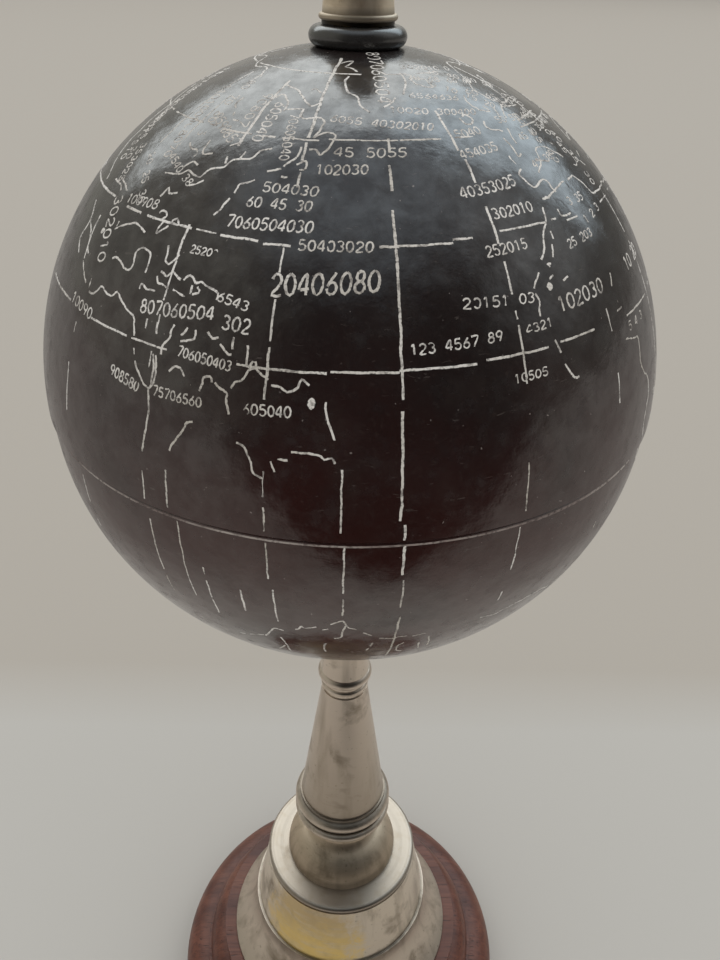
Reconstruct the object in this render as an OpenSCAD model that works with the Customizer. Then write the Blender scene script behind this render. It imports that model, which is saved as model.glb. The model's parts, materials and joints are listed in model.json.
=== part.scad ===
// Desk globe: a hollow black ball that spins on an upright axle, between a finial and a
// turned metal column, on a metal drum and a round wooden plinth.
// Millimetres. +Z is up, the origin is the middle of the underside, and -Y is the front.
// Every piece is round the one axis, and a tie rod from the plinth to the finial clamps
// the stand together. The ball runs on a sleeve round that rod.

/* [Ball] */
// Outer diameter of the ball
ball_d = 120; // [100:0.5:140]
// Thickness of the ball's wooden shell
ball_wall = 7; // [6:0.5:12]
// Diameter of the flat turned at each pole
pole_flat_d = 17; // [16.8:0.1:20]
// How far the lower half's rim lies inside the upper half's
seam_tuck = 0.5; // [0.1:0.1:1]
// Latitude at which the lower half is back on the full ball
tuck_latitude = 30; // [20:1:45]
// Bevel on both halves along the seam
seam_bevel = 0.35; // [0.1:0.05:0.8]
// Height of the glued spigot inside the seam
seam_spigot_h = 5; // [3:0.5:8]
// Thickness of the glued spigot inside the seam
seam_spigot_t = 3; // [2:0.25:4]

/* [Bead rings] */
// Outer diameter of the black ring at each pole
bead_d = 16.6; // [15.8:0.1:16.8]
// Height of the black ring at each pole
bead_h = 3.3; // [2.5:0.1:4]

/* [Axle] */
// Outer diameter of the sleeve that the ball runs on
sleeve_d = 8; // [7.6:0.1:8.6]
// Outer diameter of each bush
bush_d = 10.6; // [10.2:0.1:11]
// Length of each bush
bush_h = 8; // [7:0.25:10]
// Diameter of the bush's flange
bush_flange_d = 13; // [12.4:0.1:13.2]
// Thickness of the bush's flange
bush_flange_t = 1.2; // [0.8:0.1:2]
// Radial clearance between bush and sleeve
running_fit = 0.05; // [0.02:0.01:0.09]
// Radial clearance between bead ring and sleeve
ring_clearance = 0.3; // [0.2:0.05:0.6]
// Outer diameter of the thrust washers
thrust_d = 12.2; // [11:0.1:12.6]
// Thickness of the thrust washers
thrust_t = 0.5; // [0.4:0.1:1]
// Free play of the ball at each end of the axle
end_play = 0.15; // [0.1:0.05:0.3]

/* [Finial] */
// Diameter of the finial's bottom flange
finial_flange_d = 13.2; // [12.8:0.1:15]
// Thickness of the finial's bottom flange
finial_flange_t = 1.05; // [0.8:0.05:2]
// Diameter of the finial's body at the flange
finial_body_d = 12.2; // [11:0.1:12.6]
// Diameter of the finial's body at its top
finial_body_top_d = 10.4; // [9.4:0.1:11]
// Height of the finial's body
finial_body_h = 10; // [8:0.5:14]
// Diameter of the bead over the body
finial_bead_d = 11.4; // [11:0.1:13]
// Height of the bead over the body
finial_bead_h = 2; // [1.5:0.1:2.6]
// Diameter of the neck under the knob
finial_neck_d = 6.4; // [5:0.1:8]
// Height of the neck under the knob
finial_neck_h = 2.2; // [1.5:0.1:4]
// Diameter of the round knob
knob_d = 9.4; // [8.6:0.1:12]
// Diameter of the small tip on the knob
tip_d = 2.6; // [2:0.1:4]
// How deep the rod screws into the finial
finial_thread_h = 11; // [8:0.5:11.5]

/* [Column] */
// Height of the neck under the ball
neck_h = 25.05; // [15:0.05:40]
// Diameter of the neck at its foot
neck_d = 13; // [12.8:0.1:13.6]
// Depth of the neck's waist
neck_waist = 0.7; // [0.2:0.1:1]
// Diameter of the flange on top of the neck
neck_flange_d = 13.2; // [12.8:0.1:15]
// Thickness of the flange on top of the neck
neck_flange_t = 1.05; // [0.8:0.05:2]
// Diameter of the upper bead
stem_bead_d = 14.4; // [13.6:0.1:17]
// Height of the upper bead
stem_bead_h = 3.2; // [2.4:0.1:4]
// Diameter of the lip under the upper bead
stem_lip_d = 12.8; // [12.4:0.1:13.4]
// Height of the lip under the upper bead
stem_lip_h = 1.6; // [1:0.1:2]
// Diameter of the two grooves beside the lip
stem_groove_d = 11.8; // [11.4:0.1:12.2]
// Height of each groove beside the lip
stem_groove_h = 1.2; // [0.8:0.1:2]
// Height of the cone
cone_h = 44.1; // [30:0.1:60]
// Diameter of the cone at its top
cone_top_d = 12.4; // [11.8:0.1:16]
// Diameter of the cone at its foot
cone_foot_d = 24.6; // [20:0.1:25.6]
// Diameter of the collar's upper bead
collar_bead_d = 28.4; // [27:0.1:34]
// Height of the collar's upper bead
collar_bead_h = 4; // [3:0.1:5]
// Diameter of the collar's lower lip
collar_lip_d = 28.6; // [27:0.1:34]
// Height of the collar's lower lip
collar_lip_h = 2.5; // [1.5:0.1:4]
// Diameter of the two grooves in the collar
collar_groove_d = 25.6; // [25.6:0.1:26.4]
// Height of each groove in the collar
collar_groove_h = 1.1; // [0.5:0.1:2]
// Diameter of the column's round foot
foot_d = 33.6; // [31:0.1:38]
// Radius of the foot's rounding
foot_round_r = 9.4; // [8:0.1:10]
// Height of the foot's widest place
foot_widest_z = 1.2; // [0.5:0.1:3]
// Diameter of the foot's neck in its cove
foot_neck_d = 18; // [16:0.1:19]
// Radius of the cove over the rounding
foot_cove_r = 4.5; // [3.5:0.1:4.5]
// Diameter of the flat fillet over the cove
foot_fillet_d = 26; // [25.6:0.1:28]
// Height of the flat fillet over the cove
foot_fillet_h = 2; // [0.5:0.1:3]
// Diameter of the spigots that centre the column's pieces
spigot_d = 9; // [8.4:0.1:9.6]
// Height of those spigots
spigot_h = 2; // [1:0.1:2.4]
// Clearance round and under the spigots and other seats
seat_clearance = 0.1; // [0.05:0.01:0.2]

/* [Drum] */
// Diameter of the drum at its top
drum_top_d = 46.6; // [42:0.2:50]
// Diameter of the drum at its foot
drum_foot_d = 54.2; // [52:0.2:55]
// Height of the drum's wall
drum_h = 20.7; // [14:0.1:30]
// Thickness of the drum's and the skirt's metal
sheet_t = 1.5; // [1:0.1:2]
// Thickness of the cap on the drum
cap_t = 2.2; // [1.8:0.1:3]

/* [Skirt] */
// Diameter of the skirt at its top edge
skirt_top_d = 55.8; // [55.4:0.2:58]
// Diameter of the skirt at its foot
skirt_foot_d = 72; // [68:0.5:74]
// Height of the skirt
skirt_h = 19.9; // [14:0.1:28]
// Height of the skirt's upright foot band
skirt_band_h = 1.6; // [1:0.1:3]
// Width of the flange that carries the drum
skirt_flange_w = 6; // [5:0.5:8]

/* [Plinth] */
// Diameter of the plinth at its widest
plinth_d = 109.4; // [106:0.2:130]
// Height of the plinth
plinth_h = 30.6; // [29.5:0.1:40]
// Height of the plinth's rounded rim
rim_h = 16; // [12:0.5:17]
// Height of the plain foot under the rim
plinth_foot_h = 1.5; // [1:0.1:3]
// How far the plain foot lies inside the rim
plinth_foot_inset = 5; // [3:0.5:7]
// Height of the flat fillet over the rim
fillet_h = 1.2; // [0.6:0.1:2]
// Diameter of the flat fillet over the rim
fillet_d = 92.8; // [92.4:0.2:94]
// Diameter of the plinth's upper rounding
ovolo_d = 91; // [86:0.2:92]
// Radius of the plinth's upper rounding
ovolo_r = 7; // [5:0.25:8]
// Diameter of the plinth's flat top
plinth_top_d = 79.6; // [76:0.2:82]
// Depth of the rebate that the skirt stands in
skirt_seat_h = 0.6; // [0.4:0.1:1]
// Diameter of the felt under the plinth
felt_d = 96; // [80:0.5:98]
// Thickness of the felt under the plinth
felt_t = 1.2; // [0.8:0.1:3]

/* [Tie rod] */
// Diameter of the tie rod
rod_d = 6; // [5:0.1:6.2]
// Radial clearance of the threads
thread_fit = 0.05; // [0.03:0.01:0.1]
// Radial clearance of the holes that the rod only passes
rod_clearance = 0.2; // [0.15:0.01:0.3]
// Length of rod that stands out under the nut
rod_end_h = 2; // [1:0.1:3]
// Chamfer on both ends of the rod
rod_chamfer = 0.6; // [0.3:0.1:1]
// Width of the nut across its flats
nut_across = 10; // [9:0.1:12]
// Height of the nut
nut_h = 5; // [4:0.1:6]
// Outer diameter of the split lock washer
lock_washer_d = 11.2; // [10:0.1:13]
// Thickness of the split lock washer
lock_washer_t = 1.6; // [1:0.1:2]
// Width of the split in the lock washer
lock_washer_gap = 0.8; // [0.5:0.1:1.5]
// Outer diameter of the plain washer
plain_washer_d = 22; // [18:0.5:25]
// Thickness of the plain washer
plain_washer_t = 1.6; // [1:0.1:2.2]
// Diameter of the nut's recess in the plinth
recess_d = 27; // [26:0.5:40]
// Depth of the nut's recess in the plinth
recess_h = 12; // [11.8:0.1:15]

/* [Hidden] */
$fn = 128;
// Facets of the large circle that cuts the neck's waist
waist_facets = 720;

// Length by which a cut runs past the face that it opens
cut = 1;
// Length greater than that of any piece
reach = 500;

// Radii of the ball
ball_r = ball_d / 2;
ball_inner_r = ball_r - ball_wall;
// Height of each pole's flat over the middle of the ball
pole_z = sqrt(ball_r * ball_r - pole_flat_d * pole_flat_d / 4);
// Radius of the seam's rim on the lower half
tuck_r = ball_r - seam_tuck;
// The tucked rim is an arc inside the ball, and touches it at tuck_latitude
tuck_shift = (ball_r * ball_r - tuck_r * tuck_r) / (2 * (ball_r - tuck_r * cos(tuck_latitude)));
// Outer radius of the seam's spigot
seam_spigot_r = ball_inner_r + seam_spigot_t;

// Bores along the axis
pass_r = rod_d / 2 + rod_clearance;
thread_r = rod_d / 2 + thread_fit;
bush_bore_r = sleeve_d / 2 + running_fit;
ring_bore_r = sleeve_d / 2 + ring_clearance;

// The foot's rounding and its cove are two arcs that touch, so the surface runs on smoothly
foot_round_x = foot_d / 2 - foot_round_r;
foot_cove_x = foot_neck_d / 2 + foot_cove_r;
foot_arcs_r = foot_round_r + foot_cove_r;
foot_arcs_x = foot_cove_x - foot_round_x;
foot_cove_z = foot_widest_z + sqrt(foot_arcs_r * foot_arcs_r - foot_arcs_x * foot_arcs_x);

// Heights of the pieces that are made of several bands
foot_h = foot_cove_z + foot_cove_r + foot_fillet_h;
stem_h = stem_bead_h + 2 * stem_groove_h + stem_lip_h;
collar_h = collar_bead_h + 2 * collar_groove_h + collar_lip_h;

// Bottom of each piece, stacked up from the underside
plinth_z = felt_t;
skirt_z = plinth_z + plinth_h - skirt_seat_h;
drum_z = skirt_z + skirt_h;
cap_z = drum_z + drum_h;
foot_z = cap_z + cap_t;
collar_z = foot_z + foot_h;
cone_z = collar_z + collar_h;
stem_z = cone_z + cone_h;
neck_z = stem_z + stem_h;
neck_top_z = neck_z + neck_h;
lower_ring_z = neck_top_z + thrust_t + end_play;
ball_z = lower_ring_z + bead_h + pole_z;
upper_ring_z = ball_z + pole_z;
upper_thrust_z = upper_ring_z + bead_h + end_play;
finial_z = upper_thrust_z + thrust_t;

// The nut and washers hang from the roof of the plinth's recess
recess_z = plinth_z + recess_h;
plain_washer_z = recess_z - plain_washer_t;
lock_washer_z = plain_washer_z - lock_washer_t;
nut_z = lock_washer_z - nut_h;
rod_z = nut_z - rod_end_h;

// Heights inside the finial, over its own bottom
finial_bead_z = finial_flange_t + finial_body_h;
finial_neck_z = finial_bead_z + finial_bead_h;
// The knob and the tip sink into what carries them until their surfaces meet
knob_z = finial_neck_z + finial_neck_h + sqrt(knob_d * knob_d - finial_neck_d * finial_neck_d) / 2;
tip_z = knob_z + sqrt(knob_d * knob_d - tip_d * tip_d) / 2;

// Colours as the eye sees them
nickel = [0.63, 0.59, 0.54];
bright_nickel = [0.78, 0.76, 0.72];
dark_nickel = [0.37, 0.34, 0.30];
black_lacquer = [0.09, 0.07, 0.07];
mahogany = [0.36, 0.19, 0.16];
brass = [0.72, 0.58, 0.32];
steel = [0.60, 0.61, 0.63];
felt_green = [0.12, 0.22, 0.16];

// A rectangle in the half section, from radius r0 to r1 and height z0 to z1
module band(r0, r1, z0, z1) {
    translate([r0, z0])
        square([r1 - r0, z1 - z0]);
}

// A rounded bead in the half section, of diameter d and height h, standing on height z
module bead_band(d, h, z) {
    translate([d / 2 - h / 2, z + h / 2])
        circle(d = h);
    band(0, d / 2 - h / 2, z, z + h);
}

// A piece turned from the half section in its children, at height z and bored to bore_r
module turned(z, bore_r) {
    translate([0, 0, z])
        rotate_extrude()
            difference() {
                children();
                translate([-reach, -reach])
                    square([reach + bore_r, 2 * reach]);
            }
}

// The spigot under a piece of the column, and the socket in the top of the next one
module spigot_band() {
    band(0, spigot_d / 2, -spigot_h, cut);
}

module socket_band(top_z) {
    band(0, spigot_d / 2 + seat_clearance, top_z - spigot_h - seat_clearance, top_z + cut);
}

// A flat washer
module washer(z, d, bore_r, t) {
    turned(z, bore_r)
        band(0, d / 2, 0, t);
}

module felt_pad() {
    color(felt_green)
        cylinder(d = felt_d, h = felt_t);
}

// Turned in one piece: plain foot, half round rim, fillet, quarter round and flat top
module wood_plinth() {
    ovolo_z = plinth_foot_h + rim_h + fillet_h;
    color(mahogany)
        turned(plinth_z, pass_r)
            difference() {
                union() {
                    band(0, plinth_d / 2 - plinth_foot_inset, 0, plinth_foot_h + rim_h / 2);
                    bead_band(plinth_d, rim_h, plinth_foot_h);
                    band(0, fillet_d / 2, plinth_foot_h, ovolo_z);
                    translate([ovolo_d / 2 - ovolo_r, ovolo_z])
                        circle(r = ovolo_r);
                    band(0, ovolo_d / 2 - ovolo_r, plinth_foot_h, ovolo_z + ovolo_r);
                    band(0, plinth_top_d / 2, plinth_foot_h, plinth_h);
                }
                band(0, recess_d / 2, -cut, recess_h);
                band(0, skirt_foot_d / 2 + seat_clearance, plinth_h - skirt_seat_h, plinth_h + cut);
            }
}

// Spun sheet: an upright foot band, a hollow flare, and a flange turned in at the top
module base_skirt() {
    flare_w = (skirt_foot_d - skirt_top_d) / 2;
    flare_h = skirt_h - skirt_band_h;
    flare_r = (flare_w * flare_w + flare_h * flare_h) / (2 * flare_w);
    color(nickel)
        turned(skirt_z, skirt_top_d / 2 - skirt_flange_w) {
            intersection() {
                translate([skirt_top_d / 2 + flare_r, skirt_h])
                    difference() {
                        circle(r = flare_r + sheet_t);
                        circle(r = flare_r);
                    }
                band(0, skirt_foot_d / 2, 0, skirt_h);
            }
            band(skirt_foot_d / 2 - sheet_t, skirt_foot_d / 2, 0, skirt_band_h);
            band(0, skirt_top_d / 2 - sheet_t / 2, skirt_h - sheet_t, skirt_h);
        }
}

// Spun sheet, wider at its foot, which stands on the skirt's flange
module drum_wall() {
    color(nickel)
        turned(drum_z, 0)
            polygon([
                [drum_foot_d / 2 - sheet_t, 0],
                [drum_foot_d / 2, 0],
                [drum_top_d / 2, drum_h],
                [drum_top_d / 2 - sheet_t, drum_h]
            ]);
}

// Flat cap with a rounded edge, a hole for the foot's spigot and a rim inside the drum's wall
module drum_cap() {
    rim_r = drum_top_d / 2 - sheet_t - seat_clearance;
    color(bright_nickel)
        turned(cap_z, spigot_d / 2 + seat_clearance) {
            bead_band(drum_top_d, cap_t, 0);
            band(rim_r - sheet_t, rim_r, -sheet_t, cap_t / 2);
        }
}

// Domed foot that runs into a cove, under a flat fillet that carries the collar
module column_foot() {
    color(dark_nickel)
        turned(foot_z, pass_r)
            difference() {
                union() {
                    spigot_band();
                    intersection() {
                        translate([foot_round_x, foot_widest_z])
                            circle(r = foot_round_r);
                        band(0, foot_d / 2, 0, foot_h);
                    }
                    band(0, foot_round_x, 0, foot_widest_z + foot_round_r);
                    polygon([
                        [0, foot_widest_z],
                        [foot_round_x, foot_widest_z],
                        [foot_cove_x, foot_cove_z],
                        [0, foot_cove_z]
                    ]);
                    band(0, foot_fillet_d / 2, foot_cove_z, foot_h);
                }
                translate([foot_cove_x, foot_cove_z])
                    circle(r = foot_cove_r);
                socket_band(foot_h);
            }
}

// Two beads with a groove over each
module column_collar() {
    lip_top_z = collar_lip_h + collar_groove_h;
    color(nickel)
        turned(collar_z, pass_r)
            difference() {
                union() {
                    spigot_band();
                    bead_band(collar_lip_d, collar_lip_h, 0);
                    band(0, collar_groove_d / 2, 0, collar_h);
                    bead_band(collar_bead_d, collar_bead_h, lip_top_z);
                }
                socket_band(collar_h);
            }
}

module column_cone() {
    color(nickel)
        turned(cone_z, pass_r)
            difference() {
                union() {
                    spigot_band();
                    polygon([
                        [0, 0],
                        [cone_foot_d / 2, 0],
                        [cone_top_d / 2, cone_h],
                        [0, cone_h]
                    ]);
                }
                socket_band(cone_h);
            }
}

// Bead over a small lip, with a groove above and below the lip
module column_bead() {
    lip_z = stem_groove_h;
    color(nickel)
        turned(stem_z, pass_r)
            difference() {
                union() {
                    spigot_band();
                    band(0, stem_groove_d / 2, 0, stem_h - stem_bead_h / 2);
                    bead_band(stem_lip_d, stem_lip_h, lip_z);
                    bead_band(stem_bead_d, stem_bead_h, stem_h - stem_bead_h);
                }
                socket_band(stem_h);
            }
}

// Waisted neck, with a rounded flange that carries the ball
module column_neck() {
    waist_h = neck_h - neck_flange_t;
    waist_r = (waist_h * waist_h / 4 + neck_waist * neck_waist) / (2 * neck_waist);
    color(nickel)
        turned(neck_z, pass_r) {
            spigot_band();
            difference() {
                band(0, neck_d / 2, 0, waist_h);
                translate([neck_d / 2 + waist_r - neck_waist, waist_h / 2])
                    circle(r = waist_r, $fn = waist_facets);
            }
            bead_band(neck_flange_d, neck_flange_t, waist_h);
        }
}

module tie_rod() {
    rod_h = finial_z + finial_thread_h - seat_clearance - rod_z;
    color(steel)
        translate([0, 0, rod_z])
            rotate_extrude()
                polygon([
                    [0, 0],
                    [rod_d / 2 - rod_chamfer, 0],
                    [rod_d / 2, rod_chamfer],
                    [rod_d / 2, rod_h - rod_chamfer],
                    [rod_d / 2 - rod_chamfer, rod_h],
                    [0, rod_h]
                ]);
}

module rod_nut() {
    color(steel)
        translate([0, 0, nut_z])
            difference() {
                cylinder(d = nut_across / cos(30), h = nut_h, $fn = 6);
                translate([0, 0, -cut])
                    cylinder(r = thread_r, h = nut_h + 2 * cut);
            }
}

module lock_washer() {
    color(steel)
        difference() {
            washer(lock_washer_z, lock_washer_d, pass_r, lock_washer_t);
            translate([0, -lock_washer_gap / 2, lock_washer_z - cut])
                cube([lock_washer_d, lock_washer_gap, lock_washer_t + 2 * cut]);
        }
}

module plain_washer() {
    color(steel)
        washer(plain_washer_z, plain_washer_d, pass_r, plain_washer_t);
}

// Tube clamped between neck and finial, so that the ball itself is never squeezed
module axle_sleeve() {
    color(brass)
        turned(neck_top_z, pass_r)
            band(0, sleeve_d / 2, 0, finial_z - neck_top_z);
}

module lower_thrust_washer() {
    color(brass)
        washer(neck_top_z, thrust_d, bush_bore_r, thrust_t);
}

module upper_thrust_washer() {
    color(brass)
        washer(upper_thrust_z, thrust_d, bush_bore_r, thrust_t);
}

// Flange, tapered body, bead, neck and round knob with a small tip
module finial() {
    color(nickel)
        translate([0, 0, finial_z])
            difference() {
                union() {
                    rotate_extrude() {
                        bead_band(finial_flange_d, finial_flange_t, 0);
                        polygon([
                            [0, 0],
                            [finial_body_d / 2, 0],
                            [finial_body_top_d / 2, finial_bead_z],
                            [0, finial_bead_z]
                        ]);
                        bead_band(finial_bead_d, finial_bead_h, finial_bead_z);
                        band(0, finial_neck_d / 2, finial_bead_z, knob_z);
                    }
                    translate([0, 0, knob_z])
                        sphere(d = knob_d);
                    translate([0, 0, tip_z])
                        sphere(d = tip_d);
                }
                translate([0, 0, -cut])
                    cylinder(r = thread_r, h = finial_thread_h + cut);
            }
}

// The shell of one half in section, up from the seam, with the pole's bore and counterbore
module half_shell_band() {
    difference() {
        band(bush_d / 2 + seat_clearance, ball_r, 0, pole_z);
        circle(r = ball_inner_r);
        band(0, bush_flange_d / 2 + seat_clearance, pole_z - bush_flange_t, pole_z + cut);
    }
}

// The triangle cut off a rim of radius r at the seam
module seam_bevel_band(r) {
    polygon([[r - seam_bevel, -cut], [r - seam_bevel, 0], [r + cut, seam_bevel + cut], [r + cut, -cut]]);
}

module ball_upper_half() {
    color(black_lacquer)
        turned(ball_z, 0)
            difference() {
                intersection() {
                    half_shell_band();
                    circle(r = ball_r);
                }
                band(0, seam_spigot_r + seat_clearance, -cut, seam_spigot_h + seat_clearance);
                seam_bevel_band(ball_r);
            }
}

// The lower half's outline, mirrored upward: the ball, but an inner arc up to tuck_latitude
module tucked_outline() {
    tuck_arc_z = ball_r * sin(tuck_latitude);
    intersection() {
        circle(r = ball_r);
        band(0, ball_r, tuck_arc_z, ball_r);
    }
    intersection() {
        rotate(tuck_latitude)
            translate([tuck_shift, 0])
                circle(r = ball_r - tuck_shift);
        band(0, ball_r, 0, tuck_arc_z);
    }
}

module ball_lower_half() {
    color(black_lacquer)
        translate([0, 0, ball_z])
            mirror([0, 0, 1])
                turned(0, 0) {
                    difference() {
                        intersection() {
                            half_shell_band();
                            tucked_outline();
                        }
                        seam_bevel_band(tuck_r);
                    }
                    band(ball_inner_r, seam_spigot_r, -seam_spigot_h, seam_spigot_h / 2);
                }
}

// Flanged bush, its flange upward, flush with the upper pole's flat
module bush() {
    turned(pole_z, bush_bore_r) {
        band(0, bush_d / 2, -bush_h, 0);
        band(0, bush_flange_d / 2, -bush_flange_t, 0);
    }
}

module upper_bush() {
    color(brass)
        translate([0, 0, ball_z])
            bush();
}

module lower_bush() {
    color(brass)
        translate([0, 0, ball_z])
            mirror([0, 0, 1])
                bush();
}

module lower_bead_ring() {
    color(black_lacquer)
        turned(lower_ring_z, ring_bore_r)
            bead_band(bead_d, bead_h, 0);
}

module upper_bead_ring() {
    color(black_lacquer)
        turned(upper_ring_z, ring_bore_r)
            bead_band(bead_d, bead_h, 0);
}

felt_pad();
wood_plinth();
base_skirt();
drum_wall();
drum_cap();
column_foot();
column_collar();
column_cone();
column_bead();
column_neck();
tie_rod();
rod_nut();
lock_washer();
plain_washer();
axle_sleeve();
lower_thrust_washer();
upper_thrust_washer();
finial();
ball_lower_half();
ball_upper_half();
lower_bush();
upper_bush();
lower_bead_ring();
upper_bead_ring();
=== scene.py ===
import json
import math

import bmesh
import bpy
from mathutils import Matrix, Vector, noise


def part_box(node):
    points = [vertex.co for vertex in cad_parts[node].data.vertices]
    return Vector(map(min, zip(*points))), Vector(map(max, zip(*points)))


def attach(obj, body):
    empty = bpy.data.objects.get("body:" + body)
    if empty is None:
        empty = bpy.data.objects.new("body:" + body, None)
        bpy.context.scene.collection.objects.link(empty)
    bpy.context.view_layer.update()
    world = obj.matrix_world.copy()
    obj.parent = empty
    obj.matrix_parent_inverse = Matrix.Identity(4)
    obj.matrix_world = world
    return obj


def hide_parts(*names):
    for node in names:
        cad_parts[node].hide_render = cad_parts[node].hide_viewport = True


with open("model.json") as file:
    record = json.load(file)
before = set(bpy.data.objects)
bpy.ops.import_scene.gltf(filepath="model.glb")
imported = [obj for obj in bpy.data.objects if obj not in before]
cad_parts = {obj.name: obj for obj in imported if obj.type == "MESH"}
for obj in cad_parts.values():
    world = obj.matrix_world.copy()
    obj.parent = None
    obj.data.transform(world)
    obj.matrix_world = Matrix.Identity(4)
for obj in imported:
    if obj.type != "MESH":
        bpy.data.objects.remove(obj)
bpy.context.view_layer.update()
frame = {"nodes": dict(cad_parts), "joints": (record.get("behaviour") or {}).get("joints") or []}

MM = 0.001

# Felt disc
# A disc of green wool felt, die cut and glued under the plinth, so that the globe neither
# slips nor scratches the desk.


def new_finish(name):
    """A new material, its node tree and its shader."""
    material = bpy.data.materials.new(name)
    material.use_nodes = True
    return material, material.node_tree, material.node_tree.nodes["Principled BSDF"]


def add_node(tree, kind, inputs, **settings):
    """Adds a shader node. Each input is a plain value, or another node's output."""
    node = tree.nodes.new("ShaderNode" + kind)
    for key, value in settings.items():
        setattr(node, key, value)
    for socket, value in inputs.items():
        if isinstance(value, bpy.types.NodeSocket):
            tree.links.new(value, node.inputs[socket])
        else:
            node.inputs[socket].default_value = value
    return node


def own_place(tree, stretch=(1, 1, 1)):
    """Place on the piece in metres, stretched along each axis."""
    place = add_node(tree, "TexCoord", {}).outputs["Object"]
    return add_node(tree, "Mapping", {"Vector": place, "Scale": stretch}).outputs["Vector"]


def mottle(tree, place, scale, detail=2.0, roughness=0.5, distortion=0.0):
    """Cloudy noise from 0 to 1, with scale clouds to the metre."""
    inputs = {"Vector": place, "Scale": scale, "Detail": detail,
              "Roughness": roughness, "Distortion": distortion}
    return add_node(tree, "TexNoise", inputs).outputs["Fac"]


def spread(tree, value, low, high, new_low=0.0, new_high=1.0):
    """Takes the span from low to high to the span from new_low to new_high, and clamps."""
    inputs = {"Value": value, "From Min": low, "From Max": high, "To Min": new_low, "To Max": new_high}
    return add_node(tree, "MapRange", inputs).outputs["Result"]


def figure(tree, operation, first, second=0.0):
    """One step of arithmetic on one or two numbers."""
    return add_node(tree, "Math", {0: first, 1: second}, operation=operation).outputs["Value"]


def blend_colours(tree, share, first, second):
    """Blends from the first colour to the second as share goes from 0 to 1."""
    colours = [c if isinstance(c, bpy.types.NodeSocket) else (*c, 1.0) for c in (first, second)]
    # A Mix node takes colours at its sockets 6 and 7, and gives one at socket 2
    inputs = {0: share, 6: colours[0], 7: colours[1]}
    return add_node(tree, "Mix", inputs, data_type="RGBA").outputs[2]


def cover(tree, under, over, pattern, low, high, most=1.0):
    """Covers a colour with another where the pattern goes from low to high, up to a share of most."""
    return blend_colours(tree, spread(tree, pattern, low, high, 0.0, most), under, over)


def raise_surface(tree, shader, height, depth):
    """Lifts the surface by height times depth, which is in metres."""
    bump = add_node(tree, "Bump", {"Height": height, "Distance": depth, "Strength": 1.0})
    tree.links.new(bump.outputs["Normal"], shader.inputs["Normal"])


def give_finish(material, *nodes):
    """Puts the material on CAD pieces that are shown as they are."""
    for name in nodes:
        for slot in frame["nodes"][name].material_slots:
            slot.material = material


def wool_felt():
    material, tree, shader = new_finish("green_felt")
    place = own_place(tree)
    fibres = mottle(tree, place, 2600, detail=4)
    colour = blend_colours(tree, fibres, (0.006, 0.022, 0.012), (0.022, 0.062, 0.034))
    tree.links.new(colour, shader.inputs["Base Color"])
    shader.inputs["Roughness"].default_value = 0.95
    shader.inputs["Sheen Weight"].default_value = 0.35
    raise_surface(tree, shader, fibres, 0.25 * MM)
    return material


give_finish(wool_felt(), "felt_pad")

# Wooden plinth
# One disc of mahogany with its grain lying flat, turned to a half round rim, a fillet and a
# quarter round, then stained reddish brown and varnished.


def stained_mahogany():
    material, tree, shader = new_finish("stained_mahogany")
    growth = mottle(tree, own_place(tree, (7, 90, 120)), 1.0, detail=3, distortion=0.6)
    streaks = mottle(tree, own_place(tree, (50, 1100, 1100)), 1.0, detail=3)
    pores = mottle(tree, own_place(tree, (150, 2600, 2600)), 1.0, detail=1)
    handling = mottle(tree, own_place(tree), 60, detail=3)
    wood = cover(tree, (0.078, 0.024, 0.015), (0.180, 0.064, 0.038), growth, 0.36, 0.64)
    wood = cover(tree, wood, (0.050, 0.016, 0.013), streaks, 0.42, 0.72, 0.55)
    pore_share = spread(tree, pores, 0.62, 0.74, 0.0, 0.75)
    wood = blend_colours(tree, pore_share, wood, (0.016, 0.007, 0.006))
    wood = cover(tree, wood, (0.23, 0.115, 0.080), handling, 0.52, 0.75, 0.30)
    tree.links.new(wood, shader.inputs["Base Color"])
    tree.links.new(spread(tree, handling, 0.3, 0.7, 0.38, 0.52), shader.inputs["Roughness"])
    shader.inputs["Specular IOR Level"].default_value = 0.32
    raise_surface(tree, shader, figure(tree, "SUBTRACT", streaks, pore_share), 0.05 * MM)
    return material


give_finish(stained_mahogany(), "wood_plinth")

# Tie rod, nut and washers
# A zinc plated steel rod from the plinth's recess to the finial. Its nut, split washer and
# plain washer pull the whole stand together.


def lathe_place(tree, across, along):
    """Radius and height on a turned piece, so that a pattern runs round it as tool marks do."""
    parts = add_node(tree, "SeparateXYZ", {"Vector": own_place(tree)})
    flat = add_node(tree, "CombineXYZ", {"X": parts.outputs["X"], "Y": parts.outputs["Y"]})
    radius = add_node(tree, "VectorMath", {0: flat.outputs["Vector"]}, operation="LENGTH").outputs["Value"]
    scaled_radius = figure(tree, "MULTIPLY", radius, across)
    scaled_height = figure(tree, "MULTIPLY", parts.outputs["Z"], along)
    return add_node(tree, "CombineXYZ", {"X": scaled_radius, "Y": scaled_height}).outputs["Vector"]


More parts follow.
